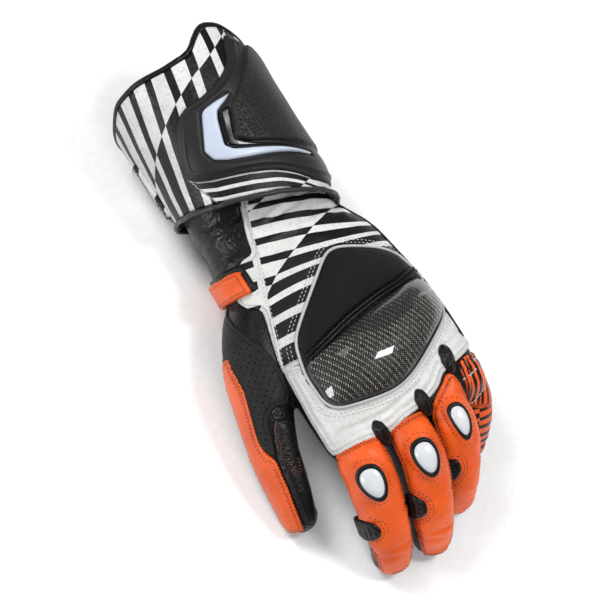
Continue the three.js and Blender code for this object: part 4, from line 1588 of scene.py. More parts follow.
@dataclass
class Fingers:
    """The five stalls: their forms and their dressing in orange hide."""

    index: FingerForm = field(default_factory=lambda: FingerForm("index", np.array([
        [-8, -55, 42, 12, 12, 12.5], [-13, -80, 43, 12.6, 12.4, 12.5], [-15, -104, 42.5, 13.6, 13.2, 13],
        [-15, -122, 32.2, 12.9, 11.8, 12.5], [-14.5, -136, 20.6, 11.8, 11, 11.5],
        [-14, -144, 9.4, 10.8, 9.6, 10.8]], float), nose=10, roll=14))
    middle: FingerForm = field(default_factory=lambda: FingerForm("middle", np.array([
        [14, -58, 44, 11.6, 12, 12.5], [15, -82, 45, 12.1, 12.2, 12.5], [15.5, -106, 44.5, 12.9, 13.2, 13],
        [13.7, -125, 34.2, 12.3, 12, 12.5], [12, -138, 21, 11.4, 11, 11.5],
        [11.4, -146, 9.4, 10.6, 9.6, 10.8]], float), nose=10, roll=8))
    ring: FingerForm = field(default_factory=lambda: FingerForm("ring", np.array([
        [38, -56, 42, 11.4, 11.8, 12], [41.5, -77, 43, 11.8, 11.8, 12], [43, -99, 41.5, 12.2, 12.6, 12.5],
        [40.2, -116, 31.5, 11.2, 11.4, 12], [36.8, -127, 18.6, 10.5, 10.4, 11],
        [35.8, -132, 8.6, 9.9, 9.2, 10.3]], float), nose=9, roll=2))
    little: FingerForm = field(default_factory=lambda: FingerForm("little", np.array([
        [60, -48, 37, 10.2, 10.8, 11.5], [63.5, -68, 36.5, 10.3, 10.8, 11.5], [64.8, -86, 33, 10.2, 10.8, 11],
        [63.3, -98, 24.5, 9.8, 9.8, 10.5], [61.2, -105, 15.4, 9.2, 9, 9.8],
        [60, -109, 7.6, 8.6, 8.2, 9.4]], float), nose=8, roll=-6))
    thumb: FingerForm = field(default_factory=lambda: FingerForm("thumb", np.array([
        [3, 24, 31, 11, 13, 14], [-18, 4, 28, 18.8, 18.8, 19], [-33, -20, 26.5, 18.8, 18.3, 18.5],
        [-42, -44, 23.5, 15.3, 15.8, 16.5], [-47.6, -68, 18.8, 12.8, 13.3, 14],
        [-49, -90, 13.9, 11, 11.5, 12.4], [-49, -102, 9.3, 9.6, 9.6, 10.4]], float),
        nose=9, roll=0, arc_per_degree=0.26))
    backs: dict[str, list[list[float]]] = field(default_factory=lambda: {
        # place, from angle, to angle
        "index": [[1.26, 24, 178], [1.42, 20, 194], [2, 18, 196], [2.5, 18, 194], [3, 18, 192],
                  [3.5, 18, 190], [4, 20, 172], [4.5, 24, 158], [5, 30, 150], [5.4, 36, 144]],
        "middle": [[1.2, 34, 134], [1.38, 22, 156], [2, 20, 160], [2.5, 18, 162], [3, 18, 162],
                   [3.5, 18, 162], [4, 20, 158], [4.5, 24, 150], [5, 30, 144], [5.4, 36, 140]],
        "ring": [[0.96, 44, 66], [1.1, 30, 86], [1.25, 24, 115], [1.48, 20, 150], [2, 18, 162],
                 [2.5, 16, 162], [3, 14, 162], [3.5, 12, 162], [4, 12, 158], [4.5, 18, 152], [5, 26, 146],
                 [5.4, 36, 142]],
        "little": [[1.08, 20, 112], [1.32, -14, 140], [2, -14, 150], [2.5, -14, 154], [3, -12, 156],
                   [3.5, -10, 158], [4, -4, 154], [4.5, 6, 148], [5, 20, 142], [5.4, 30, 140]],
    })
    thumb_back: Points = (
        (1.9, 160, 214), (2.11, 154, 215), (2.53, 137, 216), (3.07, 136, 217), (3.61, 136, 217),
        (3.87, 128, 217), (4.06, 113, 217), (4.41, 112, 217), (4.79, 112, 216), (5.27, 115, 215),
        (6, 116, 212), (6.45, 117, 208))
    thumb_pad: Points = (
        (3.22, 60, 96), (3.5, 50, 102), (4, 42, 108), (4.5, 42, 110), (5, 46, 110), (5.5, 52, 110),
        (6, 58, 108), (6.4, 66, 104))
    vents: dict[str, list[list[float]]] = field(default_factory=lambda: {
        "index": [[2.84, 150, 182], [2.95, 128, 190], [3.18, 112, 194], [3.42, 122, 190], [3.55, 150, 180]],
        "middle": [[2.76, 140, 168], [2.96, 118, 178], [3.15, 114, 180], [3.3, 118, 178], [3.5, 145, 168]],
        "ring": [[2.72, 112, 142], [2.9, 106, 162], [3.15, 106, 162], [3.4, 120, 152]],
    })
    sliders: dict[str, tuple[float, float, float, float, float]] = field(default_factory=lambda: {
        # angle, place, half width, half length, lean
        "index": (97, 2.05, 7.0, 11.8, -8),
        "middle": (94, 2.03, 6.9, 12.0, -5),
        "ring": (93, 1.92, 5.2, 11.8, -4),
    })
    # angle and place along the two white rows on the little finger
    arcs: tuple[Points, ...] = (
        ((138, 1.46), (114, 1.42), (84, 1.3)), ((140, 2.25), (112, 2.14), (80, 1.9)))
    taper: float = 0.28
    rim_share: float = 0.86        # middle of the rim, as a share of the slider's outline
    rim_half: float = 0.14
    lift: float = 1.15             # how far the slider's foot stands above the plain hide
    mound: float = 1.6
    mound_reach: float = 6.0
    # angle and place along the thumb pad's looped seam
    loop: Points = (
        (91, 3.22), (97, 3.45), (96, 3.7), (94, 3.95), (90, 4.2), (84, 4.42), (75, 4.5), (66, 4.42),
        (62, 4.22))
    rim_height: float = 1.1
    dome: float = 1.9              # how high a slider rises over its rim
    lip: float = 0.86              # share of the way out where a slider turns down under its rim
    skirt: float = 2.4             # how deep it goes from there
    flex_places: tuple[float, ...] = (2.95, 3.25, 3.9, 4.2)
    vent_height: float = 3.4
    vent_pleat: float = 2.6
    vent_seams: tuple[float, float] = (1.5, 3.2)
    loop_rows: tuple[float, float] = (0, 1.5)
    hide_seams: tuple[Seam, ...] = (rust_row(1.5), rust_row(3.3))

    def forms(self) -> list[FingerForm]:
        """Returns the five forms."""
        return [self.index, self.middle, self.ring, self.little, self.thumb]

    def form(self, name: str) -> FingerForm:
        """Returns one form by its name."""
        return getattr(self, name)

    def teardrop(self, name: str, share: Array, around: Array) -> Array:
        """Returns flat pattern places on a slider, from a share of its outline and the angle around.

        Args:
            name: The name of the finger.
            share: Distances from the middle, where 1 is the outline of the slider.
            around: Angles round it, in radians.

        Returns:
            Places in the flat pattern.
        """
        angle, place, half, length, lean = self.sliders[name]
        turn = math.radians(lean)
        across = half * share * np.cos(around) * (1 - self.taper * np.sin(around))
        along = length * share * np.sin(around)
        spot = self.form(name).spot(angle, place)
        wide, long = self.form(name).stretch(angle, place)
        return np.stack([spot[0] - (across * math.cos(turn) + along * math.sin(turn)) / wide,
                         spot[1] + (along * math.cos(turn) - across * math.sin(turn)) / long], 1)

    def slider_share(self, name: str, pattern: Array) -> Array:
        """Returns each place's share of the slider's outline, 1 on its rim.

        Args:
            name: The name of the finger.
            pattern: Places in the flat pattern.

        Returns:
            Distances from the middle, where 1 is the outline of the slider.
        """
        angle, place, half, length, lean = self.sliders[name]
        turn = math.radians(lean)
        offset = (pattern - self.form(name).spot(angle, place)) * self.form(name).stretch(angle, place)
        one = -offset[:, 0] * math.cos(turn) - offset[:, 1] * math.sin(turn)
        two = -offset[:, 0] * math.sin(turn) + offset[:, 1] * math.cos(turn)
        share = np.hypot(one / half, two / length) + 1e-6
        for _ in range(3):
            narrow = 1 - self.taper * np.clip(two / length / share, -1, 1)
            share = np.hypot(one / (half * narrow), two / length) + 1e-6
        return share

    def back_relief(self, name: str) -> Relief:
        """Returns the heights of a finger's back: its mound, its flexing creases and its seams.

        Args:
            name: The name of the finger.

        Returns:
            The relief's function.
        """
        form = self.form(name)
        creases = [form.along(place) for place in self.flex_places]

        def relief(pattern: Array, edge: Array) -> Array:
            """Gives the height over the plain hide.

            Args:
                pattern: Places in the flat pattern.
                edge: How far each place is inside the edge.

            Returns:
                The heights in millimetres.
            """
            rise = np.zeros(len(pattern))
            if name in self.sliders:
                beyond = (self.slider_share(name, pattern) - self.rim_share - self.rim_half) * 9
                rise += self.mound * (1 - smooth_step(beyond, 0.6, self.mound_reach))
                rise -= 0.45 * dip(beyond, 2.3, 0.8)
            flat = upright(pattern)
            for i, crease in enumerate(creases):
                bend = crease + 0.07 * pattern[:, 0] * (1 if i % 2 else -1)
                depth = (0.8 if i > 1 else 0.5) * (0.6 + rumple(flat, (9, 9, 9), i))
                rise -= depth * dip(pattern[:, 1], bend, 1.3)
            puffed = smooth_step(edge, 2.4, 6.5)
            rise += 0.5 * puffed + 0.95 * rumple(flat, (11, 8, 9), 2.2) * puffed
            rise += (0.45 * rumple(flat, (3.4, 3.4, 9), 6.6) - 0.35) * dip(edge, 2.6, 2.4)
            return rise

        return relief

    def dress(self, body: BVHTree) -> None:
        """Dresses the fingers.

        Args:
            body: The leather underneath.
        """
        for name, rows in self.backs.items():
            form = self.form(name)
            fields = self.little_stripes if name == "little" else None
            finish = STRIPED_ORANGE if name == "little" else ORANGE_LEATHER
            panel = Panel(f"{name}_hide", form.band(rows), form.lay, finish, "orange_leather",
                          (f"{name}_back",), relief=self.back_relief(name), fields=fields,
                          seams=self.hide_seams, cell=0.95, settled=True)
            skin = panel.build(body)
            if name in self.sliders:
                self.dress_joint(name, skin, body)
            else:
                lines = [form.lay(curve([form.spot(*spot) for spot in arc], 16)) for arc in self.arcs]
                row = Seam(0, THREAD_WHITE, 1.8, 2.5, 1.1)
                sew("little_arcs", [(row, line) for line in lines], skin, "orange_leather")
        self.dress_thumb(body)

    def little_stripes(self, pattern: Array, edge: Array) -> dict[str, Array]:
        """Gives the little finger's stripes.

        Args:
            pattern: Places in the flat pattern.
            edge: How far each place is inside the edge; not used.

        Returns:
            The named numbers for the material.
        """
        x, y = pattern.T
        lower = smooth_step(y - 0.25 * x, 44, 45)
        fan = lower * y / 4.6 + (1 - lower) * (0.24 * x + 0.045 * y)
        counter = np.where(lower > 0.5, x + 2, np.sin(0.16 * y + 0.3 * x))
        return {"stripe": fan, "counter": counter, "printed_mm": np.ones(len(pattern))}

    def dress_joint(self, name: str, skin: BVHTree, body: BVHTree) -> None:
        """Makes a finger's slider, its rim and its vent.

        Args:
            name: The finger.
            skin: The hide that they sit on.
            body: The leather underneath.
        """
        form = self.form(name)

        def cap(u: Array, v: Array) -> Array:
            """Gives the slider's dome, from its middle to under its edge.

            Args:
                u: Shares of the way round.
                v: Shares of the way along.

            Returns:
                Its points.
            """
            whole = self.rim_share - 0.4 * self.rim_half
            share = whole * np.minimum(v / self.lip, 1)
            rise = self.dome * np.sqrt(np.clip(1 - (share / whole) ** 2.6, 0, 1))
            rise = np.where(v > self.lip, -self.skirt * (v - self.lip) / (1 - self.lip), rise)
            rise = ON_BACK + self.lift + rise
            return form.lay(self.teardrop(name, share, 2 * np.pi * u), rise)

        def rim(u: Array, v: Array) -> Array:
            """Gives the rim's round section.

            Args:
                u: Shares of the way round.
                v: Shares of the way along.

            Returns:
                Its points.
            """
            turn = 2 * np.pi * v
            share = self.rim_share + self.rim_half * np.cos(turn)
            rise = ON_BACK + self.lift + self.rim_height * (0.5 + np.sin(turn))
            return form.lay(self.teardrop(name, share, 2 * np.pi * u), rise)

        finish_piece(rolled(cap, 48, 16), f"{name}_puck", [SLIDER], "slider", (f"{name}_slider",))
        finish_piece(rolled(rim, 56, 14), f"{name}_puck_rim", [BLACK_RUBBER], "black_leather",
                     (f"{name}_slider_rim",))
        outside = np.full(60, self.rim_share + self.rim_half + 0.25)
        ring = self.teardrop(name, outside, np.linspace(0, 2 * np.pi, 60))
        sew(f"{name}_puck_stitches", [(rust_row(), form.lay(ring))], skin, "orange_leather")
        vent = Panel(f"{name}_stretch_vent", form.band(self.vents[name]), form.lay, BLACK_LEATHER,
                     "black_leather", (f"{name}_vent",), cell=0.6, height=self.vent_height, edge_height=2.2,
                     edge_round=2.0, relief=self.pleats)
        vent.build(body)
        rows = []
        for depth in self.vent_seams:
            around = form.lay(vent.outline.inset(-depth))
            near = [spot for spot in around if skin.find_nearest(Vector(spot))[3] < 1.9]
            rows += [(rust_row(), run) for run in runs(np.array(near), 3.0)]
        sew(f"{name}_vent_stitches", rows, skin, "orange_leather")

    def pleats(self, pattern: Array, edge: Array) -> Array:
        """Gives the pleats of a vent."""
        return 0.3 * np.cos(2 * np.pi * pattern[:, 0] / self.vent_pleat) * smooth_step(edge, 0.6, 2.4)

    def dress_thumb(self, body: BVHTree) -> None:
        """Makes the thumb's outer hide and its raised inner pad.

        Args:
            body: The leather underneath.
        """
        form = self.thumb
        Panel("thumb_hide", form.band(self.thumb_back), form.lay, ORANGE_LEATHER, "orange_leather",
              ("thumb_back",), seams=self.hide_seams).build(body)
        pad = Panel("thumb_cushion", form.band(self.thumb_pad), form.lay, BLACK_LEATHER, "black_leather",
                    ("thumb_pad",), height=2.2, edge_round=3.0, relief=self.cushion, cell=1.2)
        bm, _ = pad.shape(body)
        plumped(bm, 1.6, 1.0)
        top = BVHTree.FromBMesh(bm)
        loop = curve([form.spot(*spot) for spot in self.loop], 70)
        rows = [(Seam(0, THREAD_COPPER, 1.8, 1.0, 0.42), form.lay(beside(loop, step)) + (0, 0, 4))
                for step in self.loop_rows]
        sew("thumb_cushion_stitches", rows, top, "black_leather")
        soften(finish_piece(bm, pad.name, [pad.finish], pad.slot, pad.replaces))

    def cushion(self, pattern: Array, edge: Array) -> Array:
        """Gives the thumb pad's swelling between its seams."""
        return 0.8 * smooth_step(edge, 2.6, 7) - 0.5 * dip(edge, 2.4, 0.8)


@dataclass
class LeatherBody:
    """The glove's black hide: palm, sides and fingertips in one skin, lined inside."""

    hand: HandForm
    fingers: Fingers
    voxel: float = 1.3
    overrun: float = 0.96          # how far the hand's form is carried on into the cuff, in rows of its table
    sleeve_end: float = 90.5

    def build(self) -> BVHTree:
        """Makes the body.

        Returns:
            Its skin, which everything else lies on.
        """
        whole = bmesh.new()
        for part in self.lofts():
            join(whole, part)
        bm = remeshed(whole, self.voxel)
        even_out(bm, bm.verts[:], 4)
        points = positions(bm)
        points += directions(bm) * self.wrinkles(points)[:, None]
        points[:, 2] = np.maximum(points[:, 2], 0)
        move_to(bm, points)
        skin = BVHTree.FromBMesh(bm)
        bmesh.ops.bisect_plane(bm, geom=bm.verts[:] + bm.edges[:] + bm.faces[:],
                               plane_co=(0, self.sleeve_end, 0), plane_no=(0, 1, 0), clear_outer=True)
        piece = finish_piece(bm, "leather_body", [BLACK_LEATHER, LINING], "black_leather",
                             ("palm_body", *(f"{form.name}_stall" for form in self.fingers.forms())))
        line_inside(piece)
        return skin

    def lofts(self) -> Iterable[bmesh.types.BMesh]:
        """Makes the closed forms of the palm and the fingers.

        Returns:
            A mesh for each.
        """
        last = self.hand.last + self.overrun
        yield rolled(lambda u, v: self.hand.point(360 * u - 90, last * v), 120, 110)
        for form in self.fingers.forms():
            yield rolled(lambda u, v, form=form: form.point(360 * u - 90, (form.last + 1) * v), 64, 90)

    def wrinkles(self, points: Array) -> Array:
        """Returns how far the hide's creases lift or sink it.

        Args:
            points: Points of the glove.

        Returns:
            Heights in millimetres, negative where it sinks.
        """
        x, y, z = points.T
        wrist = dip(y, 44, 17)
        fine = rumple(points, (16, 4.2, 12), 3.1)
        folds = rumple(points, (30, 7.5, 26), 8.7)
        wide = rumple(points, (22, 26, 22), 5.5)
        palm = smooth_step(28 - z, 0, 14)
        creases = -np.abs(fine) * (1.7 * wrist + 0.6 * palm + 0.1)
        return creases + folds * (1.7 * wrist + 0.3 * palm) + wide * (0.2 + 0.4 * palm)


def line_inside(piece: bpy.types.Object) -> None:
    """Gives a skin its wall on the inside, with the next material there.

    Args:
        piece: The skin.
    """
    modifier = piece.modifiers.new("wall", "SOLIDIFY")
    modifier.thickness = WALL * MM
    modifier.offset = -1
    modifier.use_even_offset = False
    modifier.material_offset = 1
    modifier.use_rim = True


@dataclass
class BackOfHand:
    """The hides on the back of the hand: striped, white and the grey perforated web."""

    hand: HandForm
    sewn_line: Points = (
        (-3, 65), (-8, 54), (-11, 43), (-14, 32), (-17.5, 20), (-22, 6), (-26, -10), (-29.5, -24),
        (-31, -33.2))
    striped: Points = (
        (-3, 65), (-8, 54), (-11, 43), (-13.4, 34), (-20, 32.5), (-27, 26), (-32.6, 14.5), (-30.2, 9.5),
        (-23.6, 3.5), (-26, -10), (-29.5, -24), (-30.7, -31), (-22, -33.4), (0, -40), (30, -40), (56, -34),
        (70, -22), (71, -8), (68, 10), (63, 26), (57, 42), (52, 58), (30, 66))
    band: Points = (
        (-30.9, -31.6), (-31, -52), (-31, -68), (-30, -84.5), (-17, -86.8), (-5, -87.6), (4, -88.2),
        (13, -86.5), (24, -84.3), (34, -81.5), (40, -78.4), (45, -74), (50, -72.4), (57, -70.8),
        (67, -67.8), (77, -62), (78, -36), (68, -32), (54, -40), (36, -46), (14, -50), (-8, -40),
        (-21, -34.2))
    # seen from 37 degrees to the thumb side: 0.8 x + 0.6 z, and y
    web: Points = (
        (-11, 18), (-9.6, 10.8), (-3.9, -3.8), (1.3, -17.2), (2.1, -32.3), (-0.4, -42), (-4.4, -47),
        (-10.8, -46.6), (-16.3, -50.8), (-19.5, -59.3), (-23.4, -68.9), (-26.4, -65.4), (-27.2, -58.1),
        (-23.6, -43.5), (-20, -29), (-21, -15.5), (-25.5, -9), (-24, 4), (-20, 14), (-16.5, 19))
    web_turn: tuple[float, float] = (0.8, 0.6)
    counter_line: Points = (
        (52.8, 41.1), (25.4, 32.5), (4.7, 23.3), (-7, 17.3), (-20.3, 7.1))
    corner_line: Points = (
        (-4, 54.7), (12, 60))
    seam_strip: float = 3.2
    hole_pitch: float = 4.5
    hole_radius: float = 0.62
    hole_depth: float = 0.8

    def stripes(self, pattern: Array, edge: Array) -> dict[str, Array]:
        """Gives the stripes of the back, which fan out under the knuckle guard and swap along a line.

        Args:
            pattern: Flat pattern places.
            edge: Their distances from the edge; not used.

        Returns:
            The stripes' count and the distance from the line where they swap.
        """
        points = self.hand.lay(pattern)
        x, y = points[:, 0], points[:, 1]
        past = past_line(self.counter_line, points[:, :2])
        beyond = np.maximum(past, 0)
        level = y + 0.24 * x
        bend = -0.6 * smooth_step((30 - y) / 25, 0, 1)
        level = level + bend * beyond + 0.0095 * beyond**2
        below = np.maximum(60 - level, -80)
        corner = -past_line(self.corner_line, points[:, :2])
        sewn = past_line(self.sewn_line, points[:, :2])
        return {"stripe": np.log(9.3 + 0.075 * below) / 0.075 - 0.09, "counter": np.minimum(-past, corner),
                "printed_mm": np.maximum(sewn - self.seam_strip, -sewn - 0.4)}

    def folds(self, pattern: Array, edge: Array) -> Array:
        """Gives the soft folds of the striped hide near the cuff and along its sewn edge.

        Args:
            pattern: Places in the flat pattern.
            edge: How far each place is inside the edge; not used.

        Returns:
            The heights in millimetres.
        """
        points = self.hand.lay(pattern)
        near_cuff = smooth_step(points[:, 1], 18, 58) * (0.5 + 0.5 * smooth_step(points[:, 0], 0, 30))
        flat = upright(pattern) - pattern[:, :1] * (0, 0.25, 0)
        fold = rumple(flat, (26, 7.5, 10), 4.4) + 0.5 * rumple(flat, (13, 4.5, 10), 7.9)
        seam = dip(past_line(self.sewn_line, points[:, :2]), 0, 0.9)
        return 1.9 * fold * near_cuff - 0.3 * seam + 0.22 * rumple(points, (12, 12, 12), 1.2)

    def soft_folds(self, pattern: Array, edge: Array) -> Array:
        """Gives the folds of the white band beside the finger roots.

        Args:
            pattern: Places in the flat pattern.
            edge: How far each place is inside the edge.

        Returns:
            The heights in millimetres.
        """
        wave = np.cos(2 * np.pi * (edge - 2.0) / 5.2)
        wave *= smooth_step(edge, 1.5, 4) * smooth_step(16 - edge, 0, 6)
        flat = upright(pattern)
        swell = 0.8 + 0.4 * rumple(flat, (12, 12, 12), 2.6)
        return 0.45 * wave * swell + 0.35 * rumple(flat, (9, 5, 9), 3.3)

    def build(self, body: BVHTree) -> dict[str, BVHTree]:
        """Makes the hides.

        Args:
            body: The leather underneath.

        Returns:
            The skins of the striped hide and the white band.
        """
        striped = Panel("striped_hide", Outline(self.hand.flatten(self.striped, 40)), self.hand.lay,
                        STRIPED_LEATHER, "striped_leather", ("back_panel",), relief=self.folds,
                        fields=self.stripes, settled=True, edge_height=1.1)
        band = Panel("white_hide", Outline(self.hand.flatten(self.band, 44)), self.hand.lay,
                     WHITE_LEATHER, "white_leather", ("knuckle_band",), relief=self.soft_folds,
                     settled=True, edge_height=1.1)
        skins = {"striped": striped.build(body), "band": band.build(body)}
        line = even_line(curve(self.sewn_line, 90), 1.0, closed=False)
        rows = [(Seam(0, THREAD_WHITE), self.hand.lay_flat(beside(line, step)) + (0, 0, 3))
                for step in (1.0, 2.5)]
        sew("sewn_edge", rows, skins["striped"], "striped_leather")
        self.build_web(body)
        return skins

    def build_web(self, body: BVHTree) -> None:
        """Makes the perforated hide between thumb and index.

        Args:
            body: The leather underneath.
        """
        web = Panel("web_hide", Outline(self.web), lambda pattern: self.lay_web(pattern, body), GREY_LEATHER,
                    "grey_leather", ("thumb_web",), cell=0.9, height=1.2, rounds=3,
                    relief=lambda pattern, edge: -0.3 * dip(edge, 2.3, 0.8))
        bm, top = web.shape(body)
        finish_piece(self.punched(bm), web.name, [GREY_LEATHER, PUNCHED], web.slot, web.replaces)

    def lay_web(self, pattern: Array, body: BVHTree) -> Array:
        """Lays the web's pattern on the glove, from the thumb side.

        Args:
            pattern: Places in the flat pattern.
            body: The leather skin.

        Returns:
            The points of the glove under them.
        """
        along_x, along_z = self.web_turn
        found = []
        for across, y in pattern:
            start = Vector((along_x * across - along_z * 150, y, along_z * across + along_x * 150))
            way = Vector((along_z, 0, -along_x))
            spot = body.ray_cast(start, way)[0]
            near = Vector((along_x * across - along_z * 25, y, along_z * across + along_x * 25))
            found.append(spot if spot is not None else body.find_nearest(near)[0])
        return np.array(found)

    def punched(self, bm: bmesh.types.BMesh) -> bmesh.types.BMesh:
        """Punches the web's small holes in a staggered pattern.

        Args:
            bm: The web, with its pattern as UV map and its distance from the edge.

        Returns:
            The same mesh with its holes.
        """
        uv = bm.loops.layers.uv.verify()
        depth = bm.verts.layers.float["edge_mm"]
        bm.normal_update()
        best: dict[tuple[int, int], tuple[float, bmesh.types.BMVert]] = {}
        for face in bm.faces:
            if face.normal.dot(Vector((-0.6, 0, 0.8))) < 0.2:
                continue
            for loop in face.loops:
                place = np.array(loop[uv].uv)
                row = round(place[1] / (self.hole_pitch / 2))
                shift = self.hole_pitch / 2 * (row % 2)
                column = round((place[0] - shift) / self.hole_pitch)
                spot = np.array([column * self.hole_pitch + shift, row * self.hole_pitch / 2])
                miss = float(np.linalg.norm(place - spot))
                if loop.vert[depth] > 2.6 and miss < best.get((row, column), (0.7, None))[0]:
                    best[(row, column)] = (miss, loop.vert)
        holes = list({vertex for _, vertex in best.values()})
        rims = bmesh.ops.bevel(bm, geom=holes, offset=self.hole_radius, segments=1, profile=0.5, material=-1,
                               affect="VERTICES")["faces"]
        for face in bmesh.ops.extrude_discrete_faces(bm, faces=rims)["faces"]:
            face.normal_update()
            face.material_index = 1
            bmesh.ops.translate(bm, vec=-face.normal * self.hole_depth, verts=face.verts[:])
        return bm


@dataclass
class KnuckleGuard:
    """The moulded knuckle shell, the ribbed pad above it and what frames them."""

    hand: HandForm
    pad: Points = (
        (25, 14.7), (42, 9.5), (55.7, 2.5), (63, -4.4), (62.5, -11.8), (51, -15.8), (36, -17.4),
        (14, -21.6), (-6, -27.4), (-17, -30.4), (-18.8, -25.9), (-16, -19.8), (-8.7, -12.7), (0.4, -4.6),
        (10.4, 3.4), (18, 10.3))
    shell: Points = (
        (-20.6, -36.6), (-3.8, -31.2), (19, -25.6), (42, -21.5), (60, -18.8), (68, -22.5), (69.5, -33),
        (67.5, -40.5), (62, -46), (51, -53), (37, -61.2), (26, -66.5), (15.8, -69), (3.2, -68.4),
        (-11, -65.8), (-18.4, -63.3), (-21.4, -58.2), (-21.8, -50))
    trim: Points = (
        (66, -14.2), (50, -18), (36, -19.6), (14, -23.8), (-6, -29.6), (-18, -33))
    shell_edge: float = 1.6
    shell_crown: float = 9.0
    shell_roundness: float = 2.6
    pad_edge: float = 1.4
    pad_crown: float = 2.5
    sink: float = 0.9              # how far pad and shell reach into the hide
    crease: Points = (
        (-21, -38), (-10, -34), (-3, -32), (7, -35), (23, -40.6), (41, -38), (52, -31.5), (62, -30),
        (70, -29))
    frame_depth: float = 1.3       # how far outside pad and shell the piping runs
    piping_radius: float = 0.9
    trim_rows: tuple[float, float] = (-1.1, 1.1)
    trim_radius: float = 1.12
    trim_height: float = 1.3
    seam_depths: tuple[float, float] = (2.6, 4.3)
    step_height: float = 0.9       # how far the shell drops along its crease
    scoop_depth: float = 0.8

    def share(self, outline: Outline, pattern: Array) -> Array:
        """Returns how far each place is from the outline's middle, 1 on the outline.

        Args:
            outline: The outline.
            pattern: Places in the flat pattern.

        Returns:
            The distances, from 0 to 1.
        """
        centre = outline.points.mean(0)
        offset = pattern - centre
        ring = outline.points - centre
        turn = np.arctan2(ring[:, 1], ring[:, 0])
        order = np.argsort(turn)
        reach = np.interp(np.arctan2(offset[:, 1], offset[:, 0]), turn[order],
                          np.linalg.norm(ring, axis=1)[order], period=2 * np.pi)
        return np.clip(np.linalg.norm(offset, axis=1) / reach, 0, 1)

    def domed(self, corners: Points, cell: float, foot: float, width: float, crest: Relief,
              fields: Callable[[Array, Array], dict[str, Array]]) -> bmesh.types.BMesh:
        """Makes a closed form that stands on the back of the hand.

        Args:
            corners: Its outline, seen from above.
            cell: Size of its faces.
            foot: Its height on its edge.
            width: How far in its edge is rounded.
            crest: Gives its height from the share of the way out and the distance from the edge.
            fields: Gives named numbers for each place, which the finish reads.

        Returns:
            The form as a mesh.
        """
        outline = Outline(corners)
        bm = cut_sheet(outline, cell)
        pattern = positions(bm)[:, :2]
        edge = np.maximum(outline.distance(pattern), 0)
        write_uv(bm, pattern)
        for name, values in fields(pattern, edge).items():
            write_field(bm, name, values)
        base = self.hand.top(pattern[:, 0], pattern[:, 1], ON_PANEL)
        rise = rounded_rise(edge, width, foot, crest(pattern, self.share(outline, pattern)))
        thicken(bm, np.column_stack([pattern, base - self.sink]), np.column_stack([pattern, base + rise]))
        return bm

    def build_shell(self) -> None:
        """Makes the carbon shell."""
        bm = self.domed(self.shell, 0.8, 0.4, 1.4, self.shell_crest, self.smoke)
        finish_piece(bm, "knuckle_guard", [CARBON], "carbon_shell", ("knuckle_shell",))

    def shell_crest(self, pattern: Array, share: Array) -> Array:
        """Gives the shell's dome, with a step along the crease and a shallow scoop beside it.

        Args:
            pattern: Places in the flat pattern.
            share: Distances from the middle, 1 on the outline.

        Returns:
            The heights in millimetres.
        """
        above = past_line(self.crease, pattern)
        x = pattern[:, 0] - 16
        scoop = dip(np.hypot(x / 2.6, pattern[:, 1] + 40 + 0.16 * x), 0, 3.2)
        dome = self.shell_edge + self.shell_crown * (1 - share**self.shell_roundness)
        return dome - self.step_height * smooth_step(above, -0.8, 1.6) - self.scoop_depth * scoop

    def smoke(self, pattern: Array, edge: Array) -> dict[str, Array]:
        """Gives where the twill shows, 1, and where it gives way to a flat grey, 0: along the rim, and most
        of the way above the crease, where the grey is painted reflection.
        """
        above = past_line(self.crease, pattern)
        return {"clear": smooth_step(edge, 0.8, 2.0) * (1 - 0.62 * smooth_step(above, 0.0, 1.8))}

    def build_pad(self) -> None:
        """Makes the ribbed pad, swollen by its foam."""
        bm = self.domed(self.pad, 1.3, 0.3, 2.4, self.pad_crest, lambda _, edge: {"edge_mm": edge})
        plumped(bm, 1.2, 1.2)
        soften(finish_piece(bm, "hand_pad", [RIBBED], "ribbed_fabric", ("back_pad",)))

    def pad_crest(self, pattern: Array, share: Array) -> Array:
        """Gives the pad's flat dome."""
        return self.pad_edge + self.pad_crown * (1 - share**4)

    def build_trim(self, body: BVHTree, skins: dict[str, BVHTree]) -> None:
        """Makes the ridged trim between pad and shell, the bed under them, and the piping round both.

        Args:
            body: The leather underneath.
            skins: The hides that the piping lies on.
        """
        line = even_line(curve(self.trim, 80), 1.2, closed=False)
        whole = bmesh.new()
        for step in self.trim_rows:
            path = beside(line, step)
            height = self.hand.top(path[:, 0], path[:, 1], ON_PANEL) + self.trim_height
            path = np.column_stack([path, height])
            join(whole, tube(path, np.full(len(path), self.trim_radius), closed=False, sides=12))
        finish_piece(whole, "ridged_trim", [BLACK_RUBBER], "black_leather", ("knuckle_trim",))
        ring = self.frame_line()
        Panel("guard_bed", Outline(ring, smooth=False), self.hand.lay_flat, BLACK_LEATHER, "black_leather",
              height=2.0, edge_height=1.4, cell=2.0, settled=True).build(body)
        spots = self.upon(skins, ring)
        spots[:, 2] += self.piping_radius
        spots = smoothed(spots, 8)
        piping = tube(spots, np.full(len(spots), self.piping_radius), closed=True, sides=8)
        finish_piece(piping, "frame_piping", [RIM_PIPING], "grey_piping")
        for i, (depth, skin) in enumerate(product(self.seam_depths, skins.values()), 1):
            row = Outline(ring, smooth=False).inset(-depth)
            spots = self.upon(skins, np.vstack([row, row[:1]]))
            kept = [spot for spot in spots if skin.find_nearest(Vector(spot))[3] < 0.02]
            for k, run in enumerate(runs(np.array(kept), 4.0), 1):
                sew(f"guard_seam_{i}_{k}", [(Seam(depth, THREAD_WHITE), run)], skin, "white_leather")

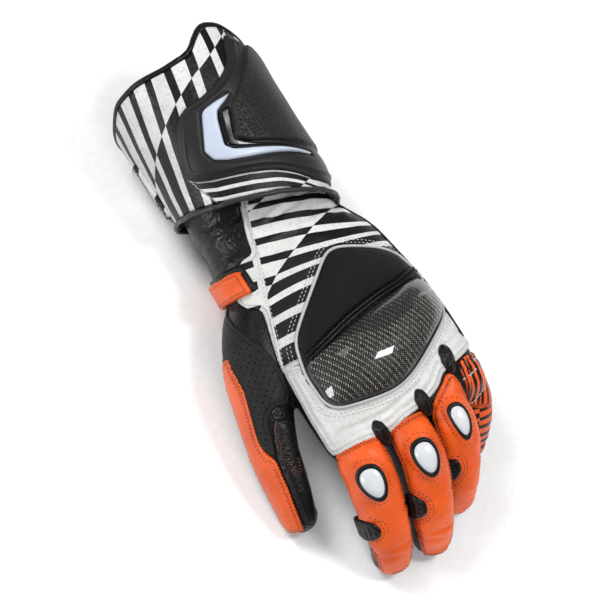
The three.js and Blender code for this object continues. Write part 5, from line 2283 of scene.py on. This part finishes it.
    def upon(self, skins: dict[str, BVHTree], line: Array) -> Array:
        """Returns a line seen from above, laid on the highest of the hides.

        Args:
            skins: The hides by name.
            line: Flat places, as seen from above.

        Returns:
            The points on the hides.
        """
        above = np.column_stack([line, np.full(len(line), 90.0)])
        laid = [dropped(above, skin) for skin in skins.values()]
        misses = [np.linalg.norm((spots - above)[:, :2], axis=1) * 20 - spots[:, 2] for spots in laid]
        best = np.argmin(misses, 0)
        return np.array([laid[k][i] for i, k in enumerate(best)])

    def frame_line(self) -> Array:
        """Returns the line round pad and shell together, a little outside them.

        Returns:
            The line's points.
        """
        points = np.vstack([Outline(self.pad).points, Outline(self.shell).points])
        hull = points[geometry.convex_hull_2d([tuple(point) for point in points])]
        ring = smoothed(even_line(hull, 1.4, closed=True), 5)
        return Outline(ring, smooth=False).inset(-self.frame_depth, 1.4)


def runs(line: Array, gap: float) -> list[Array]:
    """Splits a line where its points are further apart than the gap.

    Args:
        line: The line's points, in order.
        gap: The widest step that keeps a run together.

    Returns:
        The points of each run.
    """
    if len(line) < 4:
        return []
    breaks = np.flatnonzero(np.linalg.norm(np.diff(line, axis=0), axis=1) > gap) + 1
    return [part for part in np.split(line, breaks) if len(part) > 3]


def smoothed_open(line: Array, rounds: int) -> Array:
    """Returns an open line with its unevenness averaged out between its ends.

    Args:
        line: The line's points, in order.
        rounds: How many times it is averaged.

    Returns:
        The smoother line.
    """
    for _ in range(rounds):
        line = np.vstack([line[:1], (line[:-2] + 2 * line[1:-1] + line[2:]) / 4, line[-1:]])
    return line


def join(whole: bmesh.types.BMesh, part: bmesh.types.BMesh) -> None:
    """Adds one mesh to another, and frees it.

    Args:
        whole: The mesh that is added to.
        part: The mesh that is freed.
    """
    mesh = bpy.data.meshes.new("part")
    part.to_mesh(mesh)
    part.free()
    whole.from_mesh(mesh)
    bpy.data.meshes.remove(mesh)


@dataclass
class Gussets:
    """The pleated stretch pieces between the finger roots."""

    places: Points = (
        (-1.6, -87, 54.8, 16, -24), (27.4, -83, 57.6, 8, -18), (51.6, -68, 60, -6, -10))
    radii: tuple[float, float, float] = (4.3, 8.4, 4.3)
    pleats: int = 3

    def build(self) -> None:
        """Makes the gussets."""
        for i, (x, y, z, turn, tilt) in enumerate(self.places):
            bm = bmesh.new()
            bmesh.ops.create_uvsphere(bm, u_segments=32, v_segments=24, radius=1,
                                      matrix=Matrix.Rotation(math.pi / 2, 4, "X"))
            bmesh.ops.subdivide_edges(bm, edges=bm.edges[:], cuts=1, use_grid_fill=True)
            points = positions(bm)
            points /= np.linalg.norm(points, axis=1, keepdims=True)
            rim = smooth_step(1 - np.abs(points[:, 1]), 0, 0.4)
            points[:, 2] *= 1 + 0.09 * np.cos(np.pi * self.pleats * points[:, 0]) * rim
            points *= self.radii
            move_to(bm, points)
            place = Matrix.Translation((x, y, z)) @ Matrix.Rotation(math.radians(turn), 4, "Z")
            place = place @ Matrix.Rotation(math.radians(-tilt), 4, "X")
            bmesh.ops.transform(bm, matrix=place, verts=bm.verts[:])
            finish_piece(bm, f"stretch_gusset_{i + 1}", [BLACK_LEATHER], "black_leather",
                         (f"knuckle_gusset_{i + 1}",))


@dataclass
class Wrist:
    """The strap round the wrist, its orange keeper and the piping on the thumb side."""

    hand: HandForm
    strap_angles: tuple[float, float] = (136, 226)
    strap_y: tuple[float, float] = (17.5, 35)
    keeper_angles: tuple[float, float] = (142, 231)
    keeper_y: tuple[float, float] = (17.6, 32)
    lean: float = 0.07             # how far a band climbs on its way round, in millimetres per degree
    piping_angle: float = 26
    piping_y: tuple[float, float] = (40, -20)
    piping_end: tuple[float, float] = (-20.4, -60)

    def band(self, angles: tuple[float, float], y: tuple[float, float]) -> Outline:
        """Returns the flat pattern of a band between two angles and two y values.

        Args:
            angles: Where it starts and ends round the wrist.
            y: Where it starts and ends along the glove.

        Returns:
            The band's outline in the flat pattern.
        """
        sweep = np.linspace(*angles, 12)
        climb = (sweep - 186) * self.lean
        low = [self.hand.unroll(angle, y[0] + up) for angle, up in zip(sweep, climb)]
        high = [self.hand.unroll(angle, y[1] + up) for angle, up in zip(sweep, climb)]
        return Outline(low + high[::-1], smooth=False).rounded(2)

    def build(self, body: BVHTree) -> None:
        """Makes the wrist's pieces.

        Args:
            body: The leather underneath.
        """
        strap = Panel("strap_hide", self.band(self.strap_angles, self.strap_y), self.hand.lay, BLACK_LEATHER,
                      "black_leather", ("wrist_strap",), height=2.3, edge_height=1.2)
        skin = strap.build(body)
        keeper = Panel("keeper_hide", self.band(self.keeper_angles, self.keeper_y), self.hand.lay,
                       ORANGE_LEATHER, "orange_leather", ("strap_keeper",), height=4.4, edge_height=2.9,
                       rounds=2)
        keeper.build(body)
        for name, reach, stands_for in (("side_cord", self.piping_y, ("side_piping",)),
                                        ("side_cord_end", self.piping_end, ())):
            y = np.linspace(*reach, 50)
            spots, _ = to_ground(self.hand.point(np.full(50, self.piping_angle), self.hand.place_of(y)), body)
            path = smoothed_open(spots + (0.9, 0, 1.0), 8)
            finish_piece(tube(path, np.full(50, 1.0), closed=False, sides=10), name, [BLACK_LEATHER],
                         "black_leather", stands_for)


@dataclass
class Cuff:
    """The flared gauntlet with its bound edges."""

    form: CuffForm
    black_from: float = 206
    black_to: float = 334
    binding_radius: float = 1.7
    hem_radius: float = 1.45
    flap: Points = (
        (186, 77, 112), (200, 77, 113), (216, 77, 113), (232, 76, 112))

    def stripes(self, degrees: Array, y: Array) -> dict[str, Array]:
        """Gives the cuff's stripes, which follow it round and swap along a slanting line.

        Args:
            degrees: Angles round the cuff.
            y: Places along it.

        Returns:
            The stripes' count and the distance from the line where they swap.
        """
        rate = np.interp(degrees, [85, 115, 125, 150], [0.23, 0.26, 0.4, 0.43])
        stripe = (degrees - 126 - (136 - y) * rate) / 17
        counter = y - (142.5 - 0.435 * (degrees - 67))
        angles, lows, _ = np.array(self.form.plate[::-1]).T
        past = np.interp(degrees, angles, lows) - y
        under = (past > -4) & (degrees < 141 - 0.8 * past)
        stripe = np.where(under, (past - 2.75) / 5.8 + 0.5, stripe)
        swap = 0.7 * (62 + 1.5 * (past - 3) - degrees)
        return {"stripe": stripe, "counter": np.where(under, swap, counter), "printed_mm": np.ones(len(y))}

    def shape(self, around: int = 280, along: int = 80) -> bmesh.types.BMesh:
        """Makes the cuff's skin.

        Args:
            around: How many faces go round it.
            along: How many faces go along it.

        Returns:
            The mesh.
        """
        def surface(u: Array, v: Array) -> Array:
            """Gives the skin's points.

            Args:
                u: Shares of the way round.
                v: Shares of the way along.

            Returns:
                Its points.
            """
            degrees = 360 * u - 90
            points = self.form.point(degrees, self.form.edge(degrees, v))
            points += rumple(points, (26, 14, 26), 6.1)[:, None] * 0.35 * self.outward(points)
            points[:, 2] = np.maximum(points[:, 2], 0)
            return points

        def fields(u: Array, v: Array) -> dict[str, Array]:
            """Gives the stripes at each point."""
            degrees = 360 * u - 90
            return self.stripes(degrees, self.form.edge(degrees, v))

        return rolled(surface, around, along, capped=False, uv_scale=(270, 85), fields=fields)

    def outward(self, points: Array) -> Array:
        """Returns the directions away from the cuff's middle.

        Args:
            points: Points of the glove.

        Returns:
            A direction for each point.
        """
        away = points - np.array([3.0, 0.0, 40.0])
        away[:, 1] = 0
        return away / np.linalg.norm(away, axis=1, keepdims=True)

    def build(self) -> BVHTree:
        """Makes the cuff's skin, its binding, its hem cord and its flap.

        Returns:
            The skin, for what lies on the cuff.
        """
        bm = self.shape()
        ground = BVHTree.FromBMesh(bm)
        centre = np.array([4.0, 40.0])
        for face in bm.faces:
            middle = face.calc_center_median()
            angle = math.degrees(math.atan2(middle[2] - centre[1], middle[0] - centre[0])) % 360
            face.material_index = 2 if self.black_from < angle < self.black_to else 0
        finishes = [STRIPED_LEATHER, LINING, BLACK_LEATHER, LINING]
        piece = finish_piece(bm, "gauntlet", finishes, "striped_leather", ("cuff_shell",))
        line_inside(piece)
        self.build_edges()
        Panel("palm_flap", self.form.band(self.flap, 3), self.form.lay, STRIPED_LEATHER,
              "striped_leather", ("cuff_flap",), height=1.9, seams=(Seam(2.2, THREAD_WHITE),),
              fields=self.flap_stripes).build(ground)
        return ground

    def flap_stripes(self, pattern: Array, edge: Array) -> dict[str, Array]:
        """Gives the flap the same stripes as the cuff beside it."""
        return self.stripes(90 - pattern[:, 0] / self.form.arc_per_degree, pattern[:, 1])

    def build_edges(self) -> None:
        """Makes the binding on the rim and the rolled cord on the hem."""
        degrees = np.linspace(-90, 270, 200, endpoint=False)
        rim = self.form.edge(degrees, np.ones(200))
        path = self.form.point(degrees, rim, -WALL / 2)
        path[:, 1] += self.binding_radius + 0.2
        path[:, 2] = np.maximum(path[:, 2], self.binding_radius)
        finish_piece(tube(path, np.full(200, self.binding_radius), closed=True, sides=12), "rim_binding",
                     [BLACK_LEATHER], "black_leather", ("cuff_binding",))
        hem = self.form.edge(degrees, np.zeros(200))
        path = self.form.point(degrees, hem, 0.6)
        path[:, 1] -= self.hem_radius + 0.2 - 0.9 * rumple(path, (9, 9, 9), 2.4)
        path[:, 2] = np.maximum(path[:, 2], self.hem_radius)
        radii = self.hem_radius * (1 + 0.16 * rumple(path, (3, 3, 3), 7.1))
        finish_piece(tube(path, radii, closed=True, sides=12), "hem_cord", [PIPING], "grey_piping",
                     ("cuff_hem",))


@dataclass
class CuffGuard:
    """The moulded plate on the cuff, its stippled pad, gloss inset and pale chevron."""

    form: CuffForm
    pad: Points = (
        (93, 90, 93), (90, 87.2, 100), (86.5, 85, 107.5), (79, 83, 112.5), (73, 81.5, 116.5),
        (60, 78, 126), (50, 75.5, 134), (40, 73, 138), (20, 71, 129), (8, 70, 125))
    # angle and y round the gloss block and the ridge that runs on from it
    inset: Points = (
        (94.5, 107.2), (87, 107.8), (94, 90.6), (85.5, 84.2), (70, 78.8), (47, 72.2), (71, 77), (86.5, 82),
        (96, 85.5), (101.5, 88.6))
    # angle and y, the outer edge and then the inner one
    chevron: Points = (
        (83, 113.5), (94, 112.2), (102, 110.9), (104.5, 109.4), (116.5, 91.2), (114, 85.3), (106, 82),
        (88, 77.5), (70, 73.8), (42.5, 67.9), (68, 76.3), (85, 81.2), (98.5, 85.8), (102.6, 89.5),
        (97.8, 102.8), (95, 107.5), (91, 109.3))

    def line(self, corners: Sequence[Sequence[float]], rounds: int) -> Outline:
        """Returns the flat pattern of corners given by angle and y.

        Args:
            corners: Rows of an angle and y.
            rounds: How much its corners are rounded off.

        Returns:
            The outline.
        """
        arc = self.form.arc_per_degree
        places = [((90 - degrees) * arc, y) for degrees, y in corners]
        return Outline(places, 0.5, smooth=False).rounded(rounds)

    def stipple(self, pattern: Array, edge: Array) -> dict[str, Array]:
        """Leaves a plain border round the stippled face."""
        return {"stipple": smooth_step(edge, 1.5, 3.0)}

    def plate_relief(self, pattern: Array, edge: Array) -> Array:
        """Gives the plate's flange and ridge line."""
        channel = dip(self.line(self.chevron, 2).distance(pattern), -0.7, 0.8)
        return -1.3 * (1 - smooth_step(edge, 2.6, 3.8)) + 0.4 * dip(edge, 4.4, 0.7) - 1.4 * channel

    def build(self, cuff: BVHTree) -> None:
        """Makes the guard.

        Args:
            cuff: The cuff's skin.
        """
        Panel("guard_plate", self.form.band(self.form.plate, 1), self.form.lay, PLATE, "moulded_plate",
              ("cuff_plate",), height=3.2, edge_height=0.8, cell=0.9, relief=self.plate_relief, rounds=2,
              seams=(Seam(1.5, THREAD_BLACK),)).build(cuff)
        Panel("guard_pad", self.form.band(self.pad, 2), self.form.lay, STIPPLED, "moulded_plate",
              ("plate_pad",), height=5.0, edge_height=3.0, edge_round=2.2, rounds=2,
              fields=self.stipple).build(cuff)
        Panel("guard_inset", self.line(self.inset, 2), self.form.lay, GLOSS_BLACK, "gloss_black",
              ("plate_inset",), height=4.9, edge_height=3.6, cell=0.6, rounds=1).build(cuff)
        Panel("guard_chevron", self.line(self.chevron, 2), self.form.lay, REFLECTIVE, "reflective_inlay",
              ("plate_chevron",), height=4.7, edge_height=3.8, edge_round=0.8, cell=0.7, rounds=1).build(cuff)


@dataclass
class Studio:
    """The floor, the soft lights and the camera."""

    distance: float = 1.3
    lens: float = 142.0
    target: tuple[float, float, float] = (0.0, 0.0, 45.0)
    towards: tuple[float, float, float] = (-0.3746, -0.1736, 0.9108)
    turn: float = 30.0
    floor_size: float = 6.0

    def build(self) -> None:
        """Makes the studio."""
        self.floor()
        self.camera()
        bpy.context.scene.view_settings.view_transform = "Standard"
        self.light("key", (-0.5, 1.0, 1.1), 0.6, 16.5, False)
        self.light("fill", (1.0, 0.1, 1.1), 0.9, 5, False)
        self.light("front", (-0.3, -1.1, 1.0), 0.6, 7, False)
        self.light("window", (0.42, -0.17, 1.18), 0.24, 5)
        self.light("strip", (-1.09, -0.01, 0.61), 0.34, 6, diffuse=False)
        self.light("back", (-0.3, 0.6, 1.1), 0.4, 1.2)
        world = bpy.data.worlds.new("studio")
        world.use_nodes = True
        tree = world.node_tree
        tree.nodes["Background"].inputs["Color"].default_value = (1, 1, 1, 1)
        mirrored = tree.nodes.new("ShaderNodeLightPath").outputs["Is Glossy Ray"]
        strength = tree.nodes.new("ShaderNodeMapRange")
        strength.inputs["To Min"].default_value, strength.inputs["To Max"].default_value = 0.25, 0.1
        tree.links.new(mirrored, strength.inputs["Value"])
        tree.links.new(strength.outputs["Result"], tree.nodes["Background"].inputs["Strength"])
        bpy.context.scene.world = world

    def floor(self) -> None:
        """Makes the floor."""
        bm = bmesh.new()
        bmesh.ops.create_grid(bm, x_segments=1, y_segments=1, size=self.floor_size / 2)
        mesh = bpy.data.meshes.new("floor")
        bm.to_mesh(mesh)
        bm.free()
        mesh.materials.append(Smooth("paper", "#FFFFFF", 0.8).material())
        floor = bpy.data.objects.new("floor", mesh)
        bpy.context.scene.collection.objects.link(floor)

    def camera(self) -> None:
        """Makes the camera at the photograph's angle."""
        back = Vector(self.towards).normalized()
        up = Vector((0, 1, 0))
        up = (up - up.project(back)).normalized()
        side = up.cross(back)
        angle = math.radians(self.turn)
        image_up = math.cos(angle) * up + math.sin(angle) * side
        right = image_up.cross(back)
        data = bpy.data.cameras.new("camera")
        data.lens = self.lens
        data.sensor_width = 36
        camera = bpy.data.objects.new("camera", data)
        place = (Vector(self.target) - Vector(ORIGIN)) * MM + back * self.distance
        camera.matrix_world = Matrix((right, image_up, back)).transposed().to_4x4()
        camera.location = place
        bpy.context.scene.collection.objects.link(camera)
        bpy.context.scene.camera = camera

    def light(self, name: str, place: tuple[float, float, float], size: float, power: float,
              mirrored: bool = True, diffuse: bool = True) -> None:
        """Makes a square soft light that looks at the glove.

        Args:
            name: What it is called.
            place: Where it hangs, in metres.
            size: Its side in metres.
            power: Its power in watts.
            mirrored: Whether glossy surfaces show it.
            diffuse: Whether dull surfaces are lit by it.
        """
        data = bpy.data.lights.new(name, "AREA")
        data.shape = "SQUARE"
        data.size = size
        data.energy = power
        lamp = bpy.data.objects.new(name, data)
        lamp.location = place
        lamp.visible_glossy = mirrored
        lamp.visible_diffuse = diffuse
        lamp.rotation_euler = Vector(place).to_track_quat("Z", "Y").to_euler()
        bpy.context.scene.collection.objects.link(lamp)


def main() -> None:
    """Builds the glove's pieces in order, and reports each."""
    logging.basicConfig(level=logging.INFO, format="%(name)s: %(message)s")
    hand, cuff_form, fingers = HandForm(), CuffForm(), Fingers()
    Studio().build()
    body = LeatherBody(hand, fingers).build()
    skins = BackOfHand(hand).build(body)
    guard = KnuckleGuard(hand)
    guard.build_shell()
    guard.build_pad()
    guard.build_trim(body, skins)
    Gussets().build()
    fingers.dress(body)
    Wrist(hand).build(body)
    cuff = Cuff(cuff_form).build()
    CuffGuard(cuff_form).build(cuff)


if __name__ == "__main__":
    main()
